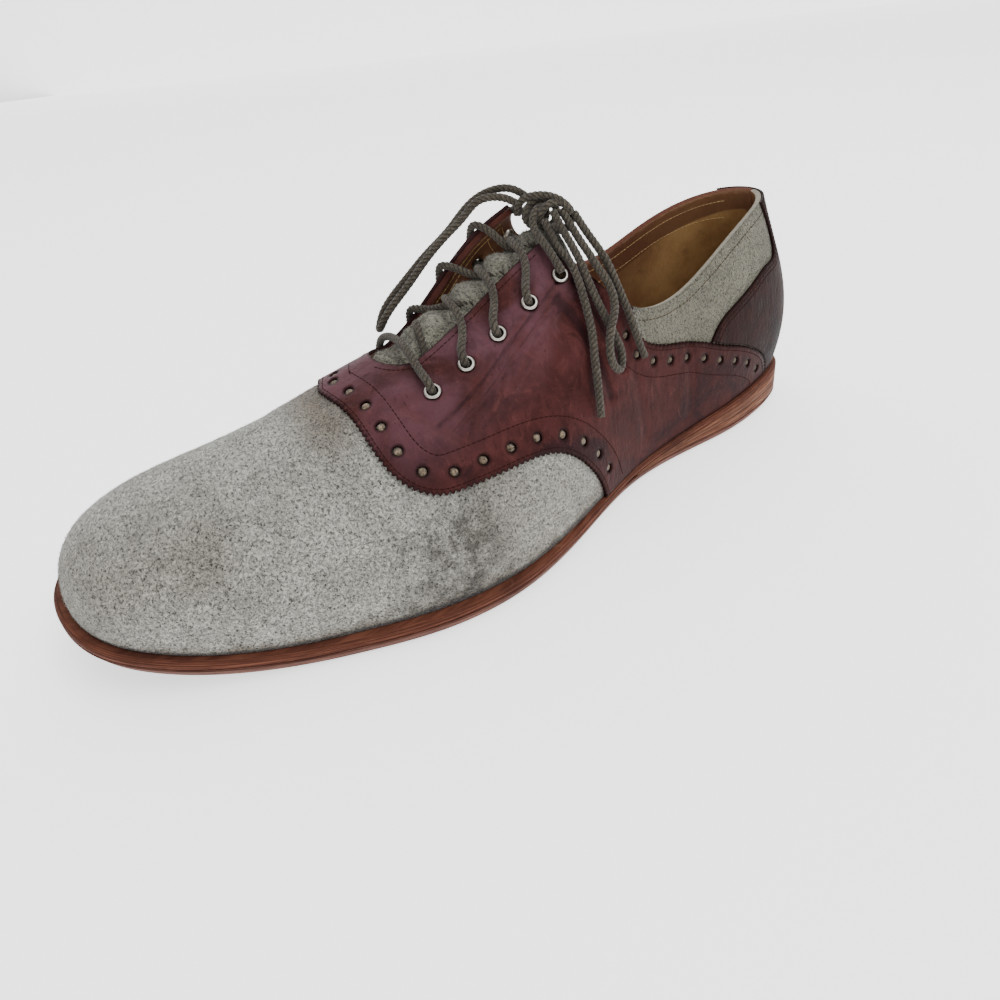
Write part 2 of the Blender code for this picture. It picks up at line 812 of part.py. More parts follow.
def hole_cutter(places):
    """The eyelets' bores, as rods across both walls."""
    radius, reach, sides = eyelet_hole / 2 + eyelet_tube + fit_gap, 2 * eyelet_hole, 10
    points, faces = [], []
    for place, direction in places:
        rod, around = turned(((radius, -reach), (radius, reach)), sides, place, direction)
        start = len(points)
        points += rod
        faces += [tuple(start + k for k in face) for face in around[::2]]
        faces.append(tuple(start + 2 * i for i in range(sides)))
        faces.append(tuple(start + 2 * i + 1 for i in reversed(range(sides))))
    return cutter_object("eyelet_bores", mesh_of("eyelet_bores", points, faces))


def tube(path, sides=6):
    """The lace along a path, closed at both ends."""
    path = np.asarray(path, float)
    along = np.gradient(path, axis=0)
    along /= np.linalg.norm(along, axis=1, keepdims=True)
    across = np.cross(along[0], (0.0, 0.3, 1.0))
    points, faces = [], []
    for place, forward in zip(path, along):
        across = across - forward * (across @ forward)
        across /= np.linalg.norm(across)
        up = np.cross(forward, across)
        for k in range(sides):
            angle = 2 * math.pi * k / sides
            points.append(place + lace_width / 2 * (math.cos(angle) * across + math.sin(angle) * up))
    for i in range(len(path) - 1):
        for k in range(sides):
            near, far = i * sides, (i + 1) * sides
            faces.append((near + k, near + (k + 1) % sides, far + (k + 1) % sides, far + k))
    faces.append(tuple(range(sides)))
    faces.append(tuple(len(points) - 1 - k for k in range(sides)))
    return points, faces


def lace_mesh(name, route):
    return mesh_of(name, *tube(stretched(route, lace_pitch)))


def make_lacing(places):
    """The bar across the front pair of eyelets, and a crossing over the tongue for each pair
    behind it. A crossing's strands run from over one facing to under the other."""
    over_leather = 2 * fit_gap + saddle_wall + eyelet_flange + lace_width / 2 + lace_slack
    under = upper_wall + lace_width / 2 + lace_slack
    up = np.array((0.0, 0.0, 1.0))

    def outside(number, side):
        place, direction = places[2 * number + (side < 0)]
        return place + over_leather * direction

    def above_edge(x, side):
        place, direction = facing_place(x, side, 0.0)
        return place + over_leather * (direction + up) / np.linalg.norm(direction + up)

    def on_tongue(x):
        return plain_points(turn_of(x / last_length), 1e-6, 0.0)

    xs = [float(place[0]) for place, _ in places[::2]]
    middle = on_tongue(xs[0]) + up * lace_arch
    bar = (outside(0, -1), above_edge(xs[0], -1), middle, above_edge(xs[0], 1), outside(0, 1))
    new_object("lace_bar", lace_mesh("lace_bar", bar), lace_colour, 0.9)
    for number in range(1, eyelet_count - 1):
        here, there = xs[number], xs[number + 1]
        crossing = on_tongue((here + there) / 2)
        place, direction = places[2 * number + 3]
        outer_strand = (
            outside(number, 1),
            above_edge(here - (here - there) * 0.3, 1),
            crossing,
            place - under * direction,
        )
        over = above_edge(here - (here - there) * 0.2, -1)
        gap_end = on_tongue(there) + (facing_place(there, 1, 0.0)[0] - on_tongue(there)) * 0.7
        inner_strand = (
            outside(number, -1),
            over,
            over + (crossing - over) * (0.45, 0.45, 0.20),
            crossing,
            gap_end,
        )
        name = f"lace_cross_{number + 1}"
        strand = new_object(name, lace_mesh(name, outer_strand), lace_colour, 0.9)
        cut(strand, cutter_object(name + "_over", lace_mesh(name + "_over", inner_strand)), "UNION")


def make_cord(name, route, pitch=cord_pitch):
    curve = bpy.data.curves.new(name, "CURVE")
    curve.dimensions = "3D"
    curve.bevel_depth = lace_width / 2
    curve.bevel_resolution = 2
    curve.use_fill_caps = True
    path = stretched(route, pitch)
    spline = curve.splines.new("POLY")
    spline.points.add(len(path) - 1)
    for point, place in zip(spline.points, path):
        point.co = (*place, 1.0)
    new_object(name, curve, lace_colour, 0.9)


for old in list(bpy.data.objects):
    bpy.data.objects.remove(old, do_unlink=True)
shoe = bpy.data.objects.new("shoe", None)
bpy.context.collection.objects.link(shoe)

make_soles()
collar = collar_cutter()
throat = throat_cutter()
places = eyelet_places()
holes = hole_cutter(places)
upper = new_object("upper", last_form("upper", 0.0, 0.0), (0.30, 0.29, 0.26), 0.95)
hollow = cutter_object("upper_hollow", last_form("upper_hollow", -upper_wall, rim_drop))
for cutter in (hollow, collar, throat, holes):
    cut(upper, cutter)
make_saddle(collar, throat, holes)
make_counter(collar)
make_tongue()
make_eyelets(places)
make_lacing(places)
make_cord("lace_knot", tie_route, knot_pitch)
make_cord("lace_loop_inner", inner_loop_route)
make_cord("lace_loop_outer", outer_loop_route)
make_cord("lace_end_front", front_end_route)
make_cord("lace_end_back", back_end_route)

# The box of the whole shoe is centred over the origin: heel's back to toe, ball to ball.
rims, _ = sole_ring(np.linspace(0, 1, 400), edge_reach())
back = shell_points(0.0, np.linspace(0.01, 1, 100), fit_gap + counter_wall)[:, 0].min()
middle = (back + rims[:, 0].max()) / 2, (rims[:, 1].min() + rims[:, 1].max()) / 2
shoe.location = (-middle[0], -middle[1], 0.0)
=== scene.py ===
import math

import bmesh
import bpy
import numpy as np
from mathutils import Matrix, Vector, geometry


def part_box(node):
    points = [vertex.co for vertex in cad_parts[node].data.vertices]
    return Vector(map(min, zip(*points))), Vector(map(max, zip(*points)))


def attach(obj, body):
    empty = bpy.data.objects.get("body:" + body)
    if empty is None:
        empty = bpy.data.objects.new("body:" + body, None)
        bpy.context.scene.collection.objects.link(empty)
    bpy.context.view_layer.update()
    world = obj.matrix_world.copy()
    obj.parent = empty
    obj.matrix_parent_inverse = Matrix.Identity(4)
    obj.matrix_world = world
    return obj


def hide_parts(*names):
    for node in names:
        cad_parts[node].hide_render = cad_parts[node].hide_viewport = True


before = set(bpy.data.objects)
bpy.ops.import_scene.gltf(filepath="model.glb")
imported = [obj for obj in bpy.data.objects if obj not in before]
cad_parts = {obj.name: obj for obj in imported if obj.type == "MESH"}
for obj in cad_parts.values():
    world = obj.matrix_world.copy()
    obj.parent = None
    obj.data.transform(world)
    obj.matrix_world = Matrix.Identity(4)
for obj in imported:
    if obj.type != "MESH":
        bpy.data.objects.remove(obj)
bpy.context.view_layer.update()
print("frame loaded")

# The last, in metres: the same sizes and sections as the solids are worked out from.
last = {
    "length": 0.301,
    "ballWidth": 0.101,
    "instepHeight": 0.1015,
    "heelBulge": 0.0062,
    "toeSwing": 0.0098,
    "archHeight": 0.0018,
    "toeSpring": 0.0150,
    "outsoleThickness": 0.0038,
    "midsoleThickness": 0.0027,
    "heelStack": 0.0101,
    "weltReach": 0.0038,
    "fitGap": 0.0003,
    "upperWall": 0.0022,
    "saddleWall": 0.0012,
    "counterWall": 0.0010,
    "tongueWall": 0.0018,
    "facingLift": 0.0105,
    "throatWidth": 0.0315,
    "throatTopWidth": 0.0170,
    "throatLength": 0.0641,
    "collarBackHeight": 0.0920,
    "collarLowHeight": 0.0710,
    "collarTilt": 0.11,
    "throatTopHeight": 0.0985,
}


def tabled(names, rows):
    # A table's columns by their names.
    return dict(zip(names.split(), np.array(rows, float).T.copy()))


# The last's sections from heel to toe: the half widths and the ridge's lean as shares of the
# ball's width, the ridge's height as a share of the instep's.
sections = tabled("station outer inner lean ridge", (
    (0.000, 0.000, 0.000, -0.030, 0.870), (0.030, 0.170, 0.170, -0.029, 0.885),
    (0.080, 0.233, 0.246, -0.027, 0.930), (0.160, 0.280, 0.292, -0.024, 0.975),
    (0.260, 0.297, 0.298, -0.022, 1.000), (0.360, 0.362, 0.288, -0.027, 0.930),
    (0.460, 0.482, 0.306, -0.043, 0.800), (0.560, 0.562, 0.367, -0.051, 0.659),
    (0.660, 0.563, 0.437, -0.048, 0.562), (0.760, 0.501, 0.463, -0.038, 0.471),
    (0.860, 0.430, 0.434, -0.020, 0.391), (0.930, 0.355, 0.357, -0.008, 0.300),
    (0.975, 0.253, 0.238, -0.002, 0.190), (1.000, 0.000, 0.000, 0.000, 0.000),
))
fullness = tabled("station flank crown swell", (
    (0.00, 0.50, 0.60, 0.060), (0.30, 0.50, 0.55, 0.050), (0.50, 0.45, 0.45, 0.040),
    (0.70, 0.50, 0.58, 0.035), (0.90, 0.55, 0.62, 0.030), (1.00, 0.56, 0.56, 0.000),
))
backSeam = tabled("height reach", (
    (0.00, 0.00), (0.13, -0.75), (0.28, -1.00), (0.50, -0.35), (0.69, 0.60), (0.93, 1.20),
    (1.22, 1.60),
))

# The topline: its station, and how far it climbs from the collar's low point to the heel's
# back or to the throat's top.
toplineBack = (
    (-0.060, 1.03), (0.000, 1.03), (0.050, 0.98), (0.100, 0.84), (0.150, 0.60), (0.190, 0.34),
    (0.225, 0.12), (0.262, 0.00),
)
toplineFront = (
    (0.290, 0.02), (0.320, 0.14), (0.350, 0.40), (0.375, 0.70), (0.395, 0.95), (0.405, 1.25),
)

weltTable = tabled("station reach", (
    (0.00, 0.95), (0.25, 0.68), (0.45, 0.53), (0.65, 1.00), (0.85, 0.79), (1.00, 0.89),
))

# Lines on the upper in the last's own terms: turn runs from the heel's back to the toe's
# tip, rise from the ridge (0) to the welt (1) on either side.
frontLine = (
    (0.6225, 0.000), (0.6200, 0.060), (0.6155, 0.152), (0.6130, 0.253), (0.6115, 0.355),
    (0.6090, 0.430), (0.6030, 0.504), (0.5930, 0.564), (0.5790, 0.604), (0.5610, 0.621),
    (0.5390, 0.640), (0.5140, 0.668), (0.4910, 0.713), (0.4750, 0.773), (0.4610, 0.851),
    (0.4490, 0.940), (0.4440, 1.000),
)
wingLine = (
    (0.3830, 0.480), (0.3815, 0.560), (0.3780, 0.643), (0.3680, 0.680), (0.3410, 0.720),
    (0.3060, 0.758), (0.2820, 0.792), (0.2500, 0.829), (0.2150, 0.876), (0.1820, 0.936),
    (0.1600, 1.000),
)
counterLine = (
    (0.2920, 0.783), (0.2840, 0.753), (0.2500, 0.701), (0.2060, 0.662), (0.1600, 0.625),
    (0.1220, 0.590), (0.1080, 0.520), (0.1120, 0.440), (0.1300, 0.340), (0.1380, 0.260),
)


def unit(vectors, tiny=0.0):
    # The vectors at a length of one. A tiny value keeps a vector of no length as it is.
    return vectors / (np.linalg.norm(vectors, axis=-1, keepdims=True) + tiny)


def smoothCurve(xs, ys, at):
    # The natural cubic spline through (xs, ys), read at the given places.
    xs, ys, at = np.asarray(xs, float), np.asarray(ys, float), np.asarray(at, float)
    count, step = len(xs), np.diff(xs)
    left, right = np.eye(count), np.zeros((count, count))
    for i in range(1, count - 1):
        left[i, i - 1 : i + 2] = step[i - 1], 2 * (step[i - 1] + step[i]), step[i]
        right[i, i - 1 : i + 2] = 6 / step[i - 1], -6 / step[i - 1] - 6 / step[i], 6 / step[i]
    bend = np.linalg.solve(left, right @ ys)
    i = np.clip(np.searchsorted(xs, at, side="right") - 1, 0, count - 2)
    h = xs[i + 1] - xs[i]
    a, b = (xs[i + 1] - at) / h, (at - xs[i]) / h
    return a * ys[i] + b * ys[i + 1] + ((a**3 - a) * bend[i] + (b**3 - b) * bend[i + 1]) * h * h / 6


def ease(share):
    share = np.clip(share, 0, 1)
    return share * share * (3 - 2 * share)


def turnOf(station):
    # A station's place on the half circle that spaces points finely at the heel and the toe.
    return np.arccos(1 - 2 * np.clip(np.asarray(station, float), 0, 1)) / math.pi


def stationOf(turn):
    return (1 - np.cos(math.pi * np.asarray(turn, float))) / 2


def ground(station):
    archStart, archEnd, springStart, springPower = 0.22, 0.60, 0.76, 1.9
    arch = np.sin(math.pi * np.clip((station - archStart) / (archEnd - archStart), 0, 1)) ** 2
    spring = np.clip((station - springStart) / (1 - springStart), 0, 1) ** springPower
    return last["archHeight"] * arch + last["toeSpring"] * spring


def wedge(station):
    wedgeStart, wedgeEnd = 0.02, 0.42
    return last["heelStack"] * (1 - ease((station - wedgeStart) / (wedgeEnd - wedgeStart)))


def midsoleBottom(station):
    return ground(station) + last["outsoleThickness"] + last["fitGap"] + wedge(station)


def seat(station):
    return midsoleBottom(station) + last["midsoleThickness"]


def swing(station):
    swingStart = 0.5
    return -last["toeSwing"] * np.clip((station - swingStart) / (1 - swingStart), 0, 1) ** 2


def alongSections(name, turn):
    return smoothCurve(turnOf(sections["station"]), sections[name], turn)


def halfWidth(turn, side):
    return last["ballWidth"] * alongSections("outer" if side > 0 else "inner", turn)


def facingShape(station, rise):
    # The inner facing stands a little open: its edge is raised along the throat.
    backStart, backRun, frontEnd, frontRun = 0.27, 0.06, 0.61, 0.17
    foot, footRun, farEdge, edgeRun = -0.60, 0.40, 0.11, 0.22
    along = ease((frontEnd - station) / frontRun) * ease((station - backStart) / backRun)
    across = ease((rise - foot) / footRun) * ease((farEdge - rise) / edgeRun)
    return along * across


def lastPoints(turn, rise, lift=last["facingLift"]):
    seamEnd = 0.42
    turn, rise = np.broadcast_arrays(np.asarray(turn, float), np.asarray(rise, float))
    station = stationOf(turn)
    side = np.where(rise < 0, -1.0, 1.0)
    climb = 1 - np.abs(rise)
    lean = last["ballWidth"] * alongSections("lean", turn)
    height = last["instepHeight"] * alongSections("ridge", turn)
    width = np.where(side > 0, halfWidth(turn, 1), halfWidth(turn, -1))
    flank, crown, swell = (
        np.interp(station, fullness["station"], fullness[name]) for name in ("flank", "crown", "swell")
    )
    w0 = (1 - climb) ** 3
    w1 = 3 * (1 - climb) ** 2 * climb
    w2 = 3 * (1 - climb) * climb**2
    w3 = climb**3
    across = side * width - lean
    y = swing(station) + lean + across * (w0 + w1 * (1 + swell) + w2 * crown)
    z = height * (w1 * flank + w2 + w3)
    heights = backSeam["height"] * last["collarBackHeight"]
    reach = smoothCurve(heights, backSeam["reach"] * last["heelBulge"], z)
    x = last["length"] * station + ease(1 - turn / seamEnd) * reach
    lifted = lift * facingShape(station, rise)
    return np.stack([x, y - 0.5 * lifted, seat(station) + last["fitGap"] + z + lifted], axis=-1)


def lastNormals(turn, rise, lift=last["facingLift"]):
    turn, rise = np.broadcast_arrays(np.asarray(turn, float), np.asarray(rise, float))
    h = 1e-4
    side = np.where(rise < 0, -1.0, 1.0)
    t0, t1 = np.clip(turn - h, 0, 1 - h), np.clip(turn + h, h, 1 - h)
    inner = np.where(np.abs(rise) > h, rise - side * h, rise)
    outer = np.where(np.abs(rise) < 1 - h, rise + side * h, rise)
    near = np.clip(turn, h, 1 - h)
    along = lastPoints(t1, rise, lift) - lastPoints(t0, rise, lift)
    up = lastPoints(near, inner, lift) - lastPoints(near, outer, lift)
    normal = np.cross(along, up) * -side[..., None]
    normal[turn >= 1 - 1e-9] = (1.0, 0.0, 0.0)
    return unit(normal)


def ridgeLine(x):
    station = np.clip(np.asarray(x, float) / last["length"], 0, 1)
    return swing(station) + last["ballWidth"] * alongSections("lean", turnOf(station))


def soleRing(turns, reach):
    # The welt line's outline in top view, carried out by reach: out along the outer side
    # from the heel's back to the toe, and back along the inner side.
    def line(side, at):
        station = stationOf(at)
        return np.stack([last["length"] * station, swing(station) + side * halfWidth(at, side)], axis=-1)

    h = 1e-3
    ring, stations = [], []
    for side in (1, -1):
        tangent = line(side, np.clip(turns + h, 0, 1)) - line(side, np.clip(turns - h, 0, 1))
        normal = side * np.stack([-tangent[:, 1], tangent[:, 0]], axis=-1)
        normal[0], normal[-1] = (-1.0, 0.0), (1.0, 0.0)
        order = slice(None) if side > 0 else slice(-2, 0, -1)
        stood = line(side, turns) + unit(normal) * reach(stationOf(turns))[:, None]
        ring.append(stood[order])
        stations.append(stationOf(turns)[order])
    return np.concatenate(ring), np.concatenate(stations)


def edgeReach(station):
    return last["weltReach"] * smoothCurve(weltTable["station"], weltTable["reach"], station)


# The shoe stands where the outsole's solid stands.
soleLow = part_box("outsole")[0]
wholeRing, _ = soleRing(np.linspace(0, 1, 400), edgeReach)
shift = np.array([soleLow.x - wholeRing[:, 0].min(), soleLow.y - wholeRing[:, 1].min(), 0.0])

# Metres over the form for a step of one in turn and in rise, near enough for a flat pattern.
formStretch = np.array((0.45, 0.105))

# Creases, as soft troughs pressed into the leather: the points of each in (turn, rise), how
# deep it is and how wide, in metres. "deep" is the depth that takes the full painted crease shade.
creases = {
    "strokes": (
        ((0.426, 0.34), (0.418, 0.46), (0.412, 0.57), (0.404, 0.68), 0.0017, 0.0030),
        ((0.446, 0.36), (0.438, 0.46), (0.430, 0.58), (0.424, 0.72), 0.0012, 0.0030),
        ((0.562, 0.400), (0.520, 0.376), (0.480, 0.340), (0.440, 0.306), 0.0009, 0.0016),
        ((0.556, 0.440), (0.512, 0.405), (0.470, 0.368), (0.442, 0.342), 0.0007, 0.0013),
        ((0.530, 0.475), (0.500, 0.448), (0.466, 0.410), (0.448, 0.388), 0.0005, 0.0013),
        ((0.585, 0.24), (0.575, 0.33), (0.565, 0.42), (0.552, 0.50), 0.0005, 0.0022),
        ((0.640, -0.30), (0.636, -0.05), (0.634, 0.15), (0.630, 0.42), 0.0002, 0.0060),
        ((0.668, -0.45), (0.664, -0.10), (0.660, 0.20), (0.650, 0.62), 0.0004, 0.0080),
        ((0.330, 0.66), (0.325, 0.74), (0.322, 0.84), (0.322, 0.94), 0.0006, 0.0040),
        ((0.395, 0.62), (0.392, 0.72), (0.388, 0.82), (0.384, 0.92), 0.0006, 0.0040),
    ),
    "mirrored": 0.8,
    "deep": 0.0012,
}


def strokeDepth(turn, rise):
    # A stroke is a row of short capsules; distances are in metres over the form.
    scaleX, scaleY = formStretch
    farAway = 9.0
    depth = np.zeros(np.broadcast(turn, rise).shape)
    for *points, deep, wide in creases["strokes"]:
        for side, strength in ((1, 1.0), (-1, creases["mirrored"])):
            if side < 0 and points[0][1] * points[-1][1] < 0:
                continue
            best = np.full(depth.shape, farAway)
            for (t0, r0), (t1, r1) in zip(points, points[1:]):
                px, py = (turn - t0) * scaleX, (rise * side - r0) * scaleY
                dx, dy = (t1 - t0) * scaleX, (r1 - r0) * scaleY
                share = np.clip((px * dx + py * dy) / (dx * dx + dy * dy), 0, 1)
                best = np.minimum(best, np.hypot(px - share * dx, py - share * dy))
            depth = depth - strength * deep * np.exp(-((best / wide) ** 2) * 2)
    return depth


def shellPoints(turn, rise, offset):
    turn, rise = np.broadcast_arrays(np.asarray(turn, float), np.asarray(rise, float))
    offset = np.asarray(offset) + strokeDepth(turn, rise)
    return lastPoints(turn, rise) + shift + offset[..., None] * lastNormals(turn, rise)


def plainPoints(turn, rise, offset):
    # As shellPoints, but with the inner facing lying down.
    offset = np.asarray(offset)[..., None]
    return lastPoints(turn, rise, 0.0) + shift + offset * lastNormals(turn, rise, 0.0)


def throatTop():
    return last["length"] * toplineFront[-1][0]


def throatHalfWidth(x):
    openBehind = 0.03
    top, narrow, corner = throatTop(), last["throatTopWidth"], last["throatWidth"] / 2
    wide = (narrow + (last["throatWidth"] - narrow) * (x - top) / last["throatLength"]) / 2
    front = top + last["throatLength"]
    rounded = np.sqrt(np.clip(corner**2 - np.clip(x - (front - corner), 0, corner) ** 2, 0, None))
    return np.where(x < top - openBehind, 0.0, np.minimum(wide, rounded))


def toplineHeight(station):
    low, rows = last["collarLowHeight"], []
    for table, top in ((toplineBack, "collarBackHeight"), (toplineFront, "throatTopHeight")):
        rows += [(at, low + climb * (last[top] - low)) for at, climb in table]
    at, height = np.array(rows).T
    return smoothCurve(at, height, station)


def edgeRise(turn, side):
    # How near the ridge the leather reaches at each turn: up to the topline or the throat.
    rises = side * np.linspace(1.0, 1e-5, 500)
    grid = lastPoints(np.asarray(turn, float)[:, None], rises[None, :])
    x, y, z = grid[..., 0], grid[..., 1], grid[..., 2]
    above = z - (toplineHeight(x / last["length"]) - last["collarTilt"] * y)
    above = np.where(x > throatTop(), -1.0, above)
    within = throatHalfWidth(x) - np.abs(y - ridgeLine(x))
    gap = np.maximum(above, within)
    found = []
    for row in gap:
        first = int(np.argmax(row > 0)) if (row > 0).any() else -1
        if first <= 0:
            found.append(0.0)
            continue
        share = row[first - 1] / (row[first - 1] - row[first])
        found.append(float(rises[first - 1] + share * (rises[first] - rises[first - 1])))
    return np.array(found)


# Drawing on the form: flat coordinates are (turn, rise), distances are in metres.
def slopes(turn, rise):
    h = 1e-4
    side = np.where(np.asarray(rise) < 0, -1.0, 1.0)
    ahead, behind = np.clip(turn + h, 0, 1), np.clip(turn - h, 0, 1)
    alongTurn = (lastPoints(ahead, rise) - lastPoints(behind, rise)) / (ahead - behind)[..., None]
    below = np.where(np.abs(rise) > h, rise - side * h, rise)
    above = np.where(np.abs(rise) < 1 - h, rise + side * h, rise)
    alongRise = (lastPoints(turn, above) - lastPoints(turn, below)) / (above - below)[..., None]
    return alongTurn, alongRise


def flatMove(turn, rise, move):
    # The step in (turn, rise) that goes the way of a short 3-D move along the form.
    alongTurn, alongRise = slopes(turn, rise)
    a = (alongTurn * alongTurn).sum(-1) + 1e-12
    b = (alongTurn * alongRise).sum(-1)
    c = (alongRise * alongRise).sum(-1) + 1e-12
    p, q = (alongTurn * move).sum(-1), (alongRise * move).sum(-1)
    det = a * c - b * b
    return np.stack([(c * p - b * q) / det, (a * q - b * p) / det], axis=-1)


def runOf(points):
    return np.concatenate([[0.0], np.cumsum(np.linalg.norm(np.diff(points, axis=0), axis=1))])


def readAt(at, run, line):
    return np.stack([np.interp(at, run, part) for part in line.T], -1)


def smoothLine(at, run, line):
    return np.stack([smoothCurve(run, part, at) for part in line.T], -1)


def evenly(line, pitch=None, count=None):
    # The flat line, read at even distances over the form.
    line = np.asarray(line, float)
    dense = readAt(np.linspace(0, 1, 1500), np.linspace(0, 1, len(line)), line)
    run = runOf(lastPoints(dense[:, 0], dense[:, 1]))
    steps = count if count else max(2, int(round(run[-1] / pitch)))
    return readAt(np.linspace(0, run[-1], steps + 1), run, dense)


def splined(table):
    # A table's line made smooth.
    rows = np.array(table, float)
    rough = runOf(rows * formStretch)
    return smoothLine(np.linspace(0, rough[-1], 300), rough, rows)


def beside(line, distance):
    # The flat line carried sideways over the form by a distance, to its left.
    line = np.asarray(line, float)
    turn, rise = line[:, 0], line[:, 1]
    forward = unit(np.gradient(lastPoints(turn, rise), axis=0), 1e-12)
    left = np.cross(lastNormals(turn, rise), forward)
    return line + flatMove(turn, rise, left * np.asarray(distance).reshape(-1, 1))


def mirrored(line):
    return np.asarray(line) * (1, -1)


def pinked(line, depth):
    # A saw-toothed edge along a line, its teeth to the line's left.
    teeth = evenly(line, leather["toothPitch"] / 2)
    return beside(teeth, np.where(np.arange(len(teeth)) % 2 == 0, 0.0, depth))


def ringAt(turn, rise, radius, sides):
    # A small circle drawn on the form.
    angle = np.linspace(0, 2 * math.pi, sides, endpoint=False)
    alongTurn, _ = slopes(np.array([turn]), np.array([rise]))
    first = unit(alongTurn[0])
    second = np.cross(lastNormals(turn, rise), first)
    move = radius * (np.cos(angle)[:, None] * first + np.sin(angle)[:, None] * second)
    at = np.full(sides, turn), np.full(sides, rise)
    return np.stack(at, -1) + flatMove(*at, move)


def insideOf(polygon, points):
    # Which points lie inside a closed flat polygon.
    x, y = points[:, 0], points[:, 1]
    inside = np.zeros(len(points), bool)
    for (x0, y0), (x1, y1) in zip(polygon, np.roll(polygon, -1, axis=0)):
        if y0 == y1:
            continue
        crosses = (y0 > y) != (y1 > y)
        inside ^= crosses & (x < (x1 - x0) * (y - y0) / (y1 - y0) + x0)
    return inside


def kept(points, outlines, holes):
    inside = np.ones(len(points), bool)
    for outline in outlines:
        inside &= insideOf(outline, points)
    for hole in holes:
        inside &= ~insideOf(hole, points)
    return inside


def gapTo(rim, points):
    # Each point's distance to the nearest point of a rim, worked out a block at a time.
    block = 2000
    return np.concatenate([
        np.linalg.norm(points[k : k + block, None] - rim, axis=-1).min(axis=1)
        for k in range(0, len(points), block)
    ])


def cutPanel(outlines, holes, spacing):
    # A flat pattern piece: its outline and holes filled with small even triangles.
    middle, clearOfRim, sliver = 0.6, 0.42, 1e-12
    low = np.max([outline.min(0) for outline in outlines], axis=0)
    high = np.min([outline.max(0) for outline in outlines], axis=0)
    rows = []
    turns = evenly([(low[0], middle), (high[0], middle)], spacing)[:, 0]
    for i, turn in enumerate(turns):
        line = evenly([(turn, max(low[1], -1.0)), (turn, min(high[1], 1.0))], spacing)
        rows.append((line[1:] + line[:-1]) / 2 if i % 2 else line)
    grid = np.concatenate(rows)
    grid = grid[kept(grid, outlines, holes)] * formStretch
    loops = list(outlines) + list(holes)
    rim = np.concatenate(loops) * formStretch
    grid = grid[gapTo(rim, grid) > spacing * clearOfRim]
    edges, at = [], 0
    for loop in loops:
        count = len(loop)
        edges += [(at + k, at + (k + 1) % count) for k in range(count)]
        at += count
    points = [Vector(p) for p in np.concatenate([rim, grid])]
    found = geometry.delaunay_2d_cdt(points, edges, [], 0, 1e-7)
    flat = np.array([tuple(v) for v in found[0]]) / formStretch
    faces = np.array([tuple(f) for f in found[2]])
    faces = faces[kept(flat[faces].mean(axis=1), outlines, holes)]
    a, b, c = (flat[faces[:, k]] * formStretch for k in range(3))
    turned = (b - a)[:, 0] * (c - a)[:, 1] - (b - a)[:, 1] * (c - a)[:, 0]
    faces, turned = faces[np.abs(turned) > sliver], turned[np.abs(turned) > sliver]
    faces[turned < 0] = faces[turned < 0][:, ::-1]
    return flat, faces


def linked(name, data):
    obj = bpy.data.objects.new(name, data)
    bpy.context.scene.collection.objects.link(obj)
    return obj


def activate(obj):
    bpy.ops.object.select_all(action="DESELECT")
    obj.select_set(True)
    bpy.context.view_layer.objects.active = obj


def meshFrom(name, points, faces, uvs=None, smooth=True):
    # A mesh object; its flat places are kept as a UV map.
    mesh = bpy.data.meshes.new(name)
    mesh.from_pydata([tuple(p) for p in points], [], [tuple(int(i) for i in f) for f in faces])
    if uvs is not None:
        layer = mesh.uv_layers.new(name="form")
        loops = np.zeros(len(mesh.loops), int)
        mesh.loops.foreach_get("vertex_index", loops)
        layer.data.foreach_set("uv", np.asarray(uvs, np.float32)[loops].ravel())
    if smooth:
        mesh.shade_smooth()
    return linked(name, mesh)


def tubeFaces(start, rings, sides):
    # The faces over rings of points, one ring after the other, with both ends closed.
    faces = []
    for near in range(start, start + (rings - 1) * sides, sides):
        for k in range(sides):
            m = (k + 1) % sides
            faces.append((near + k, near + m, near + m + sides, near + k + sides))
    faces.append(tuple(range(start, start + sides))[::-1])
    faces.append(tuple(range(start + (rings - 1) * sides, start + rings * sides)))
    return faces


def paint(obj, *materials):
    for material in materials:
        obj.data.materials.append(material)


